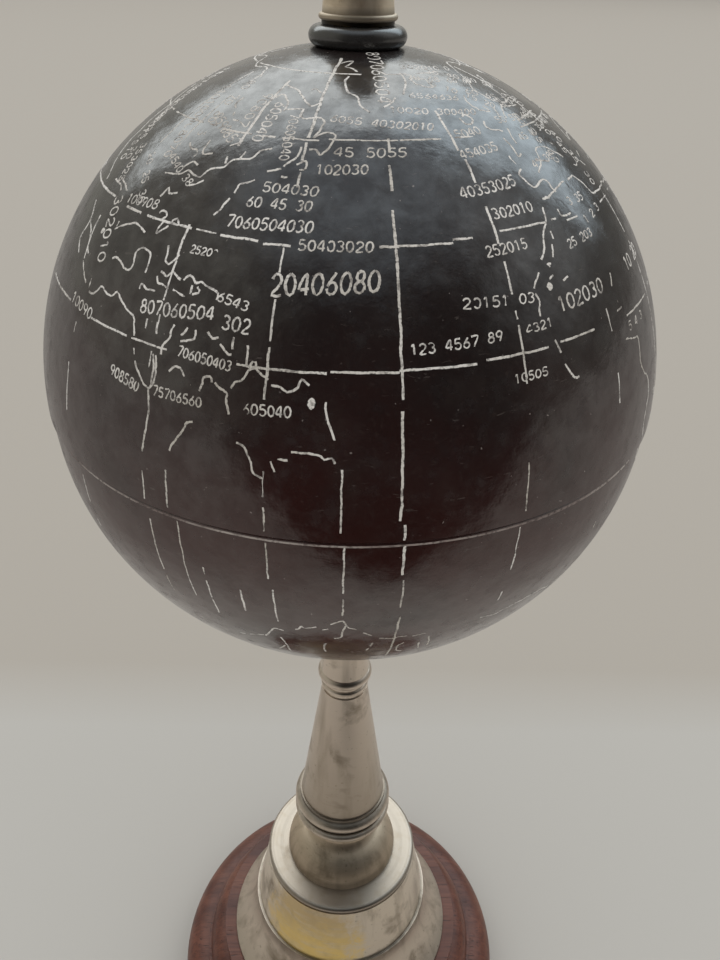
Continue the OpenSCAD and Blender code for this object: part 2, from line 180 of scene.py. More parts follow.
def turned_metal(name, clean, dull, roughness, tarnish):
    """Metal with tool marks round it, and dull spots over a share of its surface."""
    material, tree, shader = new_finish(name)
    marks = mottle(tree, lathe_place(tree, 2600, 2600), 1.0, detail=2)
    clouds = mottle(tree, own_place(tree), 85, detail=5, roughness=0.62, distortion=0.4)
    specks = mottle(tree, own_place(tree), 900, detail=2)
    dulled = spread(tree, clouds, 0.66 - 0.34 * tarnish, 0.80 - 0.20 * tarnish)
    metal = blend_colours(tree, dulled, clean, dull)
    runs = mottle(tree, own_place(tree, (260, 260, 28)), 1.0, detail=3)
    metal = cover(tree, metal, dull, runs, 0.50, 0.72, 0.55)
    metal = cover(tree, metal, dull, specks, 0.66, 0.74, 0.6)
    tree.links.new(metal, shader.inputs["Base Color"])
    shader.inputs["Metallic"].default_value = 1.0
    # The tool marks vary the roughness, and dulled metal is rougher
    rough = spread(tree, marks, 0.3, 0.7, roughness - 0.05, roughness + 0.05)
    rough = figure(tree, "ADD", rough, figure(tree, "MULTIPLY", dulled, 0.16))
    tree.links.new(rough, shader.inputs["Roughness"])
    raise_surface(tree, shader, marks, 0.003 * MM)
    return material, tree, shader, metal


zinc_plate = turned_metal("zinc_plated_steel", (0.52, 0.53, 0.55), (0.25, 0.25, 0.24), 0.30, 0.4)[0]
give_finish(zinc_plate, "tie_rod", "rod_nut", "lock_washer", "plain_washer")

# Base skirt, drum cap and column
# Turned and spun brass under a satin nickel plate, which has gone warm and cloudy with age.
# Each piece of the column stands on the next one's rim and is centred by a spigot.
NICKEL = (0.60, 0.52, 0.435)
TARNISH = (0.31, 0.255, 0.195)
# Colour of the painted shade in corners and grooves
PAINTED_SHADE = (0.085, 0.068, 0.052)


def height_on(tree):
    """Height on the piece above the desk, in metres."""
    return add_node(tree, "SeparateXYZ", {"Vector": own_place(tree)}).outputs["Z"]


def shade_painted_metal(name, roughness, unshaded_radius, shaded_radius):
    """Nickel plate darkened towards the axis by painted shade, in a corner or in grooves."""
    material, tree, shader, metal = turned_metal(name, NICKEL, TARNISH, roughness, 0.42)
    radius = add_node(tree, "SeparateXYZ", {"Vector": lathe_place(tree, 1, 1)}).outputs["X"]
    uneven = figure(tree, "MULTIPLY", mottle(tree, own_place(tree), 300, detail=3), 0.5 * MM)
    # Painted shade: the colour darkens towards the axis, over a ragged edge
    shade_share = spread(tree, figure(tree, "ADD", radius, uneven), shaded_radius, unshaded_radius, 0.65, 0.0)
    tree.links.new(blend_colours(tree, shade_share, metal, PAINTED_SHADE), shader.inputs["Base Color"])
    return material


nickel_plate = turned_metal("nickel_plate", (0.68, 0.59, 0.50), TARNISH, 0.36, 0.42)[0]
give_finish(nickel_plate, "column_bead", "column_neck")


def tarnished_cone():
    """Nickel plate that grows duller towards the cone's lower end."""
    clean = (0.66, 0.57, 0.485)
    material, tree, shader, metal = turned_metal("cone_nickel_plate", clean, TARNISH, 0.38, 0.42)
    low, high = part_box("column_cone")
    duller = blend_colours(tree, spread(tree, height_on(tree), low.z, high.z, 0.75, 0.0), metal, TARNISH)
    tree.links.new(duller, shader.inputs["Base Color"])
    return material


give_finish(tarnished_cone(), "column_cone")
# Painted shade darkens the skirt in the corner under the drum
drum_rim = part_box("drum_wall")[1].x
skirt_nickel = shade_painted_metal("skirt_nickel_plate", 0.38,
                           unshaded_radius=drum_rim + 1.5 * MM, shaded_radius=drum_rim + 0.6 * MM)
give_finish(skirt_nickel, "base_skirt")
# Painted shade darkens the collar's two grooves and the upper flank of its bead
collar_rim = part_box("column_collar")[1].x
collar_nickel = shade_painted_metal("collar_nickel_plate", 0.44,
                            unshaded_radius=collar_rim - 0.2 * MM, shaded_radius=collar_rim - 1.1 * MM)
give_finish(collar_nickel, "column_collar")
handled_nickel = turned_metal("handled_nickel_plate", (0.375, 0.325, 0.272), TARNISH, 0.42, 0.08)[0]
give_finish(handled_nickel, "drum_cap")

# Column foot
# One turned brass piece, a dome under a cove, which carries the column on the drum cap. It has
# lost its shine: the plate has turned dark brown.
brown_tarnish = turned_metal("browned_nickel_plate", (0.56, 0.46, 0.35), (0.30, 0.24, 0.175), 0.55, 0.4)[0]
give_finish(brown_tarnish, "column_foot")

# Drum wall
# Spun brass under nickel plate. Where the hand holds the globe, at the front and left, the
# plate is worn through and the yellow brass shows, with soft ragged edges.
BARE_BRASS = (0.80, 0.60, 0.235)
DULL_BRASS = (0.58, 0.445, 0.25)
# The worn patch lies round this point on the drum's skin, and noise draws its edge in and out
WORN_MIDDLE = Vector((-9.5, -23.5, 60)) * MM
WORN_RADIUS = 17.5 * MM
WORN_RAGGED = 22 * MM
WORN_EDGE = 6 * MM


def worn_drum():
    material, tree, shader, metal = turned_metal("worn_nickel_plate", (0.66, 0.58, 0.48), TARNISH, 0.38, 0.42)
    offset = add_node(tree, "VectorMath", {0: own_place(tree), 1: WORN_MIDDLE}, operation="DISTANCE")
    ragged = mottle(tree, own_place(tree), 190, detail=6, roughness=0.7, distortion=0.5)
    edge = figure(tree, "ADD", offset.outputs["Value"], figure(tree, "MULTIPLY", ragged, WORN_RAGGED))
    worn = spread(tree, edge, WORN_RADIUS + WORN_EDGE, WORN_RADIUS + 2 * WORN_EDGE, 1.0, 0.0)
    # Thin plate is left in streaks that follow the rubbing hand round the drum
    streaks = mottle(tree, own_place(tree, (110, 110, 420)), 1.0, detail=4, distortion=0.4)
    worn = figure(tree, "MULTIPLY", worn, spread(tree, streaks, 0.36, 0.54, 0.62, 1.0))
    # The brass is brightest low down, and dulls upwards by this much to the metre
    dulling = 60
    dull = figure(tree, "ADD", figure(tree, "MULTIPLY", height_on(tree), dulling), ragged)
    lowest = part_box("drum_wall")[0].z * dulling
    brass = cover(tree, BARE_BRASS, DULL_BRASS, dull, lowest + 0.75, lowest + 1.45)
    tree.links.new(blend_colours(tree, worn, metal, brass), shader.inputs["Base Color"])
    return material


give_finish(worn_drum(), "drum_wall")

# Sleeve, bushes and thrust washers
# Machined brass. The ball's bushes run on the sleeve, and a thin washer at each end of it
# takes the ball's weight and keeps the bead rings off the metal.
oiled_brass = turned_metal("oiled_brass", (0.66, 0.50, 0.24), (0.27, 0.18, 0.08), 0.24, 0.3)[0]
give_finish(oiled_brass, "axle_sleeve", "lower_bush", "upper_bush")
# The washers are painted near black: painted shade in the narrow gaps between the parts where they sit
shade_darkened_brass = turned_metal("shade_darkened_brass", (0.035, 0.028, 0.020), (0.012, 0.010, 0.009), 0.40, 0.5)[0]
give_finish(shade_darkened_brass, "lower_thrust_washer", "upper_thrust_washer")

# The ball's two halves
# Two hollow cups turned from dark wood, glued at a spigot inside the seam, lacquered black
# and polished. The lower cup's rim has shrunk and lies half a millimetre inside the upper's.
ball_radius = round(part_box("ball_upper_half")[1].x, 4)
ball_middle = Vector(frame["joints"][0]["pos_m"])
pole_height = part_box("ball_upper_half")[1].z - ball_middle.z
BALL_WALL = 7 * MM
SEAM_BEVEL = 0.35 * MM
SEAM_TUCK = 0.5 * MM
TUCK_LATITUDE = math.radians(30)
SPIGOT_RADIUS = 56 * MM
SPIGOT_HEIGHT = 5 * MM
GLUE_GAP = 0.1 * MM
BORE_RADIUS = 5.4 * MM
COUNTERBORE_RADIUS = 6.6 * MM
COUNTERBORE_DEPTH = 1.2 * MM
BALL_FACETS = 256
SKIN_STEPS = 90
INNER_STEPS = 20
MERGE_DISTANCE = 0.0001 * MM
LACQUER_IOR = 1.85
# The tucked rim is an arc of a smaller circle, which touches the ball at TUCK_LATITUDE
rim_radius = ball_radius - SEAM_TUCK
tuck_shift = (ball_radius ** 2 - rim_radius ** 2) / (2 * (ball_radius - rim_radius * math.cos(TUCK_LATITUDE)))


def skin_radius(latitude):
    """Radius of the ball's skin at a latitude in radians, the tucked rim included."""
    if latitude >= 0 or latitude < -TUCK_LATITUDE:
        return ball_radius
    along = tuck_shift * math.cos(-latitude - TUCK_LATITUDE)
    return along + math.sqrt(along ** 2 - tuck_shift ** 2 + (ball_radius - tuck_shift) ** 2)


def skin_section(half, start, end):
    """Points of the skin's half section. half is 1 for the upper cup and -1 for the lower one."""
    latitudes = [start + (end - start) * i / SKIN_STEPS for i in range(SKIN_STEPS + 1)]
    return [(skin_radius(half * a) * math.cos(a), skin_radius(half * a) * math.sin(a)) for a in latitudes]


def inner_section():
    """The cup's inner wall, from the bore down to just above the seam."""
    inner = ball_radius - BALL_WALL
    start = math.acos(BORE_RADIUS / inner)
    latitudes = [start * (1 - i / INNER_STEPS) for i in range(INNER_STEPS)]
    return [(inner * math.cos(a), inner * math.sin(a)) for a in latitudes]


def turn_cup(name, half, seam):
    """Spins one cup round the axle. seam is the section's corners from inner wall to skin."""
    pole_latitude = math.asin(pole_height / ball_radius)
    seam_radius = skin_radius(half * SEAM_BEVEL / ball_radius)
    section = [(seam_radius - SEAM_BEVEL, 0)]
    section += skin_section(half, SEAM_BEVEL / seam_radius, pole_latitude)
    section += [(COUNTERBORE_RADIUS, pole_height), (COUNTERBORE_RADIUS, pole_height - COUNTERBORE_DEPTH)]
    section += [(BORE_RADIUS, pole_height - COUNTERBORE_DEPTH)]
    section += inner_section()
    section += seam
    bm = bmesh.new()
    corners = [bm.verts.new((radius, 0, half * height)) for radius, height in section]
    edges = [bm.edges.new((a, b)) for a, b in zip(corners, corners[1:] + corners[:1])]
    bmesh.ops.spin(bm, geom=corners + edges, axis=(0, 0, 1), cent=(0, 0, 0), angle=2 * math.pi,
                   steps=BALL_FACETS, use_merge=True)
    bmesh.ops.remove_doubles(bm, verts=bm.verts[:], dist=MERGE_DISTANCE)
    bmesh.ops.recalc_face_normals(bm, faces=bm.faces[:])
    bmesh.ops.translate(bm, verts=bm.verts[:], vec=ball_middle)
    return finished_piece(name, bm, math.radians(30))


def finished_piece(name, bm, sharp_angle):
    """Turns a bmesh into a smooth piece in the scene, with its sharp edges kept."""
    mesh = bpy.data.meshes.new(name)
    bm.to_mesh(mesh)
    bm.free()
    mesh.shade_smooth()
    mesh.set_sharp_from_angle(angle=sharp_angle)
    piece = bpy.data.objects.new(name, mesh)
    bpy.context.scene.collection.objects.link(piece)
    return piece


def black_lacquer():
    material, tree, shader = new_finish("black_lacquer")
    place = own_place(tree)
    # Blots where the painted reddish reflection is strongest
    reddish_reflection = mottle(tree, place, 24, detail=3, distortion=0.5)
    smudges = mottle(tree, place, 95, detail=5, roughness=0.68)
    dents = mottle(tree, place, 360, detail=3, roughness=0.6)
    swells = mottle(tree, place, 105, detail=2)
    scuffs = mottle(tree, own_place(tree, (1, 1, 5)), 380, detail=2, distortion=1.2)
    nicks = mottle(tree, place, 1300, detail=1)
    lint = mottle(tree, place, 1700, detail=3)
    # The lacquer's very dark red brown, with its redder blots, is a painted reflection of something reddish
    # in front of the ball. On the upper half it turns grey.
    lacquer = cover(tree, (0.0150, 0.0070, 0.0060), (0.0330, 0.0064, 0.0046), reddish_reflection, 0.30, 0.52)
    height = height_on(tree)
    greying_heights = (ball_middle.z - 5 * MM, ball_middle.z + 35 * MM)
    lacquer = cover(tree, lacquer, (0.0130, 0.0118, 0.0114), height, *greying_heights, 0.85)
    lacquer = cover(tree, lacquer, (0.044, 0.032, 0.025), smudges, 0.52, 0.76, 0.27)
    lacquer = cover(tree, lacquer, (0.060, 0.044, 0.036), lint, 0.57, 0.74, 0.22)
    lacquer = cover(tree, lacquer, (0.09, 0.075, 0.066), scuffs, 0.69, 0.76, 0.5)
    lacquer = cover(tree, lacquer, (0.24, 0.21, 0.19), nicks, 0.78, 0.805, 0.7)
    tree.links.new(lacquer, shader.inputs["Base Color"])
    # Smudges and small dents scatter the shine
    rough = spread(tree, smudges, 0.35, 0.70, 0.16, 0.25)
    rough = figure(tree, "ADD", rough, spread(tree, dents, 0.5, 0.72, 0.0, 0.13))
    tree.links.new(rough, shader.inputs["Roughness"])
    shader.inputs["IOR"].default_value = LACQUER_IOR
    # A film of grease and dust takes part of the shine away in blots, most of all on top
    film = mottle(tree, place, 230, detail=5, roughness=0.65, distortion=0.3)
    film_share = spread(tree, height, ball_middle.z - 10 * MM, ball_middle.z + 25 * MM, 0.35, 1.0)
    shine = figure(tree, "MULTIPLY", spread(tree, film, 0.36, 0.62, 0.12, -0.17), film_share)
    tree.links.new(figure(tree, "ADD", shine, 0.52), shader.inputs["Specular IOR Level"])
    waves = figure(tree, "MULTIPLY", swells, 0.24)
    waves = figure(tree, "ADD", waves, figure(tree, "MULTIPLY", dents, 0.065))
    raise_surface(tree, shader, waves, MM)
    return material


upper_seam = [(ball_radius - BALL_WALL, SPIGOT_HEIGHT + GLUE_GAP),
              (SPIGOT_RADIUS + GLUE_GAP, SPIGOT_HEIGHT + GLUE_GAP),
              (SPIGOT_RADIUS + GLUE_GAP, 0)]
lower_seam = [(ball_radius - BALL_WALL, -SPIGOT_HEIGHT), (SPIGOT_RADIUS, -SPIGOT_HEIGHT), (SPIGOT_RADIUS, 0)]
lacquer_finish = black_lacquer()
upper_cup = turn_cup("upper_cup", 1, upper_seam)
lower_cup = turn_cup("lower_cup", -1, lower_seam)
for cup, node in ((upper_cup, "ball_upper_half"), (lower_cup, "ball_lower_half")):
    cup.data.materials.append(lacquer_finish)
    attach(cup, "ball")
    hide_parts(node)

# Bead rings
# A turned bead of blackened wood on each pole, polished brighter than the ball. It hides the
# bush's flange and turns with the ball.


def polished_black():
    material, tree, shader = new_finish("polished_black")
    haze = mottle(tree, own_place(tree), 300, detail=3)
    rings = mottle(tree, lathe_place(tree, 3000, 3000), 1.0)
    black = blend_colours(tree, haze, (0.012, 0.011, 0.010), (0.026, 0.023, 0.021))
    tree.links.new(black, shader.inputs["Base Color"])
    tree.links.new(spread(tree, haze, 0.3, 0.7, 0.20, 0.30), shader.inputs["Roughness"])
    shader.inputs["IOR"].default_value = LACQUER_IOR
    raise_surface(tree, shader, rings, 0.006 * MM)
    return material


give_finish(polished_black(), "lower_bead_ring", "upper_bead_ring")

# Engraved map
# Lines cut into the lacquer with a small graver and filled with white paint, which stands a
# hair proud and is worn away in places. The map is drawn at four fifths of its true height,
# so it ends well above the lower pole, and plain numbers stand where names would.
FRONT_LONGITUDE = -48
MAP_HEIGHT = 0.8
PAINT_PROUD = 0.045 * MM
PAINT_EDGE = -0.012 * MM
PAINT_DEPTH = 0.16 * MM
SEAM_CLEARANCE = math.radians(0.55)
# The noise behind the hand's wander starts from the clock, unless it is given a seed
noise.seed_set(7)
# The cut is wider than the paint that is left in it, by this factor
CUT_SHARE = 1.32
# Paint narrower than this share of its width has fallen out
LEAST_SHARE = 0.22


def spot(longitude, latitude):
    """Direction from the ball's middle to a place on the map."""
    down = math.radians(MAP_HEIGHT * (90 - latitude))
    turn = math.radians(longitude - FRONT_LONGITUDE)
    return Vector((math.sin(down) * math.sin(turn), -math.sin(down) * math.cos(turn), math.cos(down)))


def drawn_path(corners, stride, wander):
    """Runs a smooth line through the corners, in steps of about stride, with a hand's wander."""
    ends = [2 * corners[0] - corners[1]] + corners + [2 * corners[-1] - corners[-2]]
    path = []
    for a, b, c, d in zip(ends, ends[1:], ends[2:], ends[3:]):
        steps = max(1, round((c - b).length * ball_radius / stride))
        for i in range(steps):
            t = i / steps
            bend = 2 * b + (c - a) * t + (2 * a - 5 * b + 4 * c - d) * t ** 2
            bend += (3 * b - a - 3 * c + d) * t ** 3
            path.append((bend / 2).normalized())
    path.append(corners[-1])
    # The hand drifts over 2.5 mm and shakes, about half as far, over 0.7 mm
    wanders = [noise.noise_vector(p * 24) + 0.45 * noise.noise_vector(p * 85) for p in path]
    return [(p + off * wander / ball_radius).normalized() for p, off in zip(path, wanders)]


def paint_left(direction, kept, seed):
    """Share of the paint's width that is left at a place. kept says how well the line has lasted."""
    if abs(math.asin(direction.z)) < SEAM_CLEARANCE:
        return 0.0
    # The wear comes and goes over 9 mm, and again over 1 mm
    coarse = noise.noise(direction * 7 + Vector((seed, 0, 0)))
    fine = noise.noise(direction * 70 + Vector((0, seed, 0)))
    left = (coarse + 0.7 * fine + (kept - 0.5) * 1.3) / 0.25
    return max(0.0, min(1.0, left)) * (1 + 0.3 * fine)


def lay_strip(bm, run, half_width):
    """Lays one unbroken strip of paint along a run of (direction, share) places."""
    count = len(run) - 1
    strip = bmesh.ops.create_grid(bm, x_segments=count, y_segments=2, size=1, calc_uvs=True)["verts"]
    for vert in strip:
        i = round((vert.co.x + 1) / 2 * count)
        side = round(vert.co.y)
        direction, share = run[i]
        ahead = run[min(i + 1, count)][0] - run[max(i - 1, 0)][0]
        across = direction.cross(ahead).normalized()
        # The strip's middle stands proud, less so where little paint is left
        crown = PAINT_EDGE + (PAINT_PROUD - PAINT_EDGE) * min(1.0, share * 1.6)
        lift = PAINT_EDGE if side else crown
        radius = skin_radius(math.asin(direction.z)) + lift
        vert.co = ball_middle + direction * radius + across * (side * half_width * share)


def engrave(bm, corners, width, kept=0.8, seed=0.0, stride=0.8 * MM, wander=0.15 * MM):
    """Engraves and fills one line, in as many strips as the wear has left of it."""
    run = []
    for direction in drawn_path(corners, stride, wander) + [None]:
        share = paint_left(direction, kept, seed) if direction else 0.0
        if share > LEAST_SHARE:
            run.append((direction, share))
        else:
            if len(run) > 2:
                lay_strip(bm, run, width * CUT_SHARE / 2)
            run = []


def new_lines():
    """An empty mesh for strips. Their V coordinate runs from 0 to 1 across the strip."""
    bm = bmesh.new()
    bm.loops.layers.uv.new("across")
    return bm


def filled_lines(name, bm):
    """Gives the strips their depth, and makes them one piece that turns with the ball."""
    bmesh.ops.solidify(bm, geom=bm.faces[:], thickness=PAINT_DEPTH)
    bmesh.ops.recalc_face_normals(bm, faces=bm.faces[:])
    piece = finished_piece(name, bm, math.radians(60))
    piece.data.materials.append(paint_finish)
    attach(piece, "ball")
    return piece


def white_filling():
    material, tree, shader = new_finish("white_filling")
    crumbs = mottle(tree, own_place(tree), 2600, detail=2)
    dirt = mottle(tree, own_place(tree), 700, detail=4, roughness=0.65)
    yellowing = mottle(tree, own_place(tree), 45, detail=3)
    paint = cover(tree, (0.80, 0.77, 0.72), (0.52, 0.48, 0.42), yellowing, 0.40, 0.65)
    paint = cover(tree, paint, (0.13, 0.11, 0.10), dirt, 0.50, 0.66, 0.75)
    paint = cover(tree, paint, (0.10, 0.085, 0.075), crumbs, 0.56, 0.66, 0.55)
    # The cut's own edges are bare and dull, and the paint breaks off unevenly towards them
    across = add_node(tree, "TexCoord", {}).outputs["UV"]
    across = add_node(tree, "SeparateXYZ", {"Vector": across}).outputs["Y"]
    off_middle = figure(tree, "ABSOLUTE", figure(tree, "SUBTRACT", across, 0.5))
    ragged = figure(tree, "MULTIPLY", figure(tree, "SUBTRACT", crumbs, 0.5), 0.45)
    bare = spread(tree, figure(tree, "ADD", off_middle, ragged), 0.34, 0.41)
    tree.links.new(blend_colours(tree, bare, paint, (0.010, 0.008, 0.007)), shader.inputs["Base Color"])
    shader.inputs["Roughness"].default_value = 0.6
    shader.inputs["Specular IOR Level"].default_value = 0.25
    raise_surface(tree, shader, dirt, 0.03 * MM)
    return material


paint_finish = white_filling()

# Graticule: pieces of each parallel and meridian that are still filled, as latitude or
# longitude, both ends, width in millimetres and how well the paint has lasted
PARALLELS = [
    (69, -130, -66, 0.32, 0.9), (69, -65, -53, 0.38, 1.1), (69, -53, -46, 0.36, 1.1),
    (69, -34, 230, 0.30, 0.75), (49.5, -86, -76, 0.34, 1.0), (49.5, -73, -69, 0.34, 1.1),
    (49.5, -67, -56, 0.28, 0.7), (50, -55, -37, 0.26, 0.85), (50, -36.5, -22, 0.32, 1.0),
    (50, -21, 274, 0.30, 0.75), (30, -128, -105, 0.38, 1.1), (29.5, -98.5, -93, 0.38, 1.2),
    (29.5, -91, -79, 0.36, 1.1), (29.5, -78, -73.5, 0.24, 0.8), (29.3, -72.5, -65, 0.36, 1.1),
    (29, -64, -59, 0.34, 1.0), (29.5, -43.5, -40, 0.36, 1.1), (29.6, -40.5, -30, 0.32, 1.1),
    (30.2, -30, -20, 0.32, 1.1), (30.8, -20, -8.5, 0.30, 1.1), (30, -2, 230, 0.30, 0.75),
    (8.8, -118, -104, 0.36, 1.1), (8.5, -95.5, -85.5, 0.34, 1.1), (8.5, -84.5, -77, 0.30, 1.0),
    (8.6, -65, -60, 0.34, 1.1), (8.6, -60, -51.5, 0.36, 1.2), (8.9, -51, -41, 0.34, 1.1),
    (9.2, -41, -29, 0.34, 1.1), (9.7, -27.5, -16, 0.34, 1.1), (10, -13.5, -5, 0.32, 1.1),
    (10.3, -5, -0.5, 0.28, 1.0), (9, 6, 238, 0.30, 0.75),
]
MERIDIANS = [
    (-39.6, 50.5, 47.3, 0.38, 1.2), (-40.3, 44.7, 39.5, 0.42, 1.3), (-40.6, 36, -17.5, 0.38, 1.15),
    (-39.9, -18.3, -21.8, 0.36, 1.2), (-39.7, -23.5, -30.5, 0.42, 1.25), (-39.4, -32, -41, 0.28, 0.95),
    (-39.2, -43.5, -67, 0.35, 1.15), (-60.2, 76, 50, 0.44, 1.3), (-60.4, 49, 45, 0.40, 1.2),
    (-60, 43.5, 39.5, 0.36, 1.1), (-60.2, 28.6, 24.4, 0.28, 1.1), (-60.3, 20, 13, 0.32, 1.1),
    (-60.3, 12, 3.5, 0.36, 1.1), (-60, -1.5, -6.5, 0.26, 0.8), (-60, -9, -21, 0.26, 0.6),
    (-60, -24, -33, 0.26, 0.65), (-59.5, -36, -47, 0.30, 0.9), (-78, 65, 46.5, 0.46, 1.3),
    (-79.8, 30, 23.5, 0.42, 1.3), (-79.7, 23.5, 16.5, 0.32, 1.1), (-79.8, 14, -1, 0.26, 0.6),
    (-80, -13, -21, 0.26, 0.8), (-80, -26, -48, 0.28, 0.75), (-22, 57, 47, 0.38, 1.2),
    (-21.3, 45, 40.3, 0.36, 1.2), (-21, 35.5, 28.5, 0.38, 1.2), (-21, 25.5, 19.7, 0.34, 1.1),
    (-21, 17, 15.5, 0.30, 1.1), (-21, 14.5, 4.5, 0.32, 1.1), (-21, 2, -20, 0.26, 0.55),
    (-21, -24, -45, 0.28, 0.7), (-0.3, 12.5, 8, 0.32, 1.1), (-0.2, 0, -6, 0.30, 1.0),
    (-0.3, -24, -40, 0.26, 0.6), (-100, 6, -12, 0.28, 0.8), (-98, -26, -40, 0.26, 0.75),
    (-49, -7.5, -20, 0.29, 0.95), (-48.5, -23.5, -42.5, 0.29, 1.1), (-75.5, -13, -21, 0.30, 0.95),
    (-74.5, -24, -45, 0.26, 0.8), (-71, -34, -49.5, 0.28, 0.85), (-65, -38, -45, 0.34, 1.1),
    (-96, 66, 44, 0.30, 0.9), (-104, 66, 38, 0.30, 0.9),
]
MERIDIANS += [(longitude, 77, -60, 0.32, 0.72) for longitude in range(20, 240, 20)]
graticule = new_lines()
# The lines are drawn with a corner about every 6 degrees along a parallel, and 8 along a meridian
for latitude, west, east, width, kept in PARALLELS:
    steps = math.ceil((east - west) / 6)
    arc = [spot(west + (east - west) * i / steps, latitude) for i in range(steps + 1)]
    engrave(graticule, arc, width * MM, kept=kept, seed=latitude + west, wander=0.12 * MM)
for longitude, north, south, width, kept in MERIDIANS:
    steps = math.ceil((north - south) / 8)
    arc = [spot(longitude, north + (south - north) * i / steps) for i in range(steps + 1)]
    engrave(graticule, arc, width * MM, kept=kept, seed=longitude + north, wander=0.15 * MM)
filled_lines("graticule", graticule)

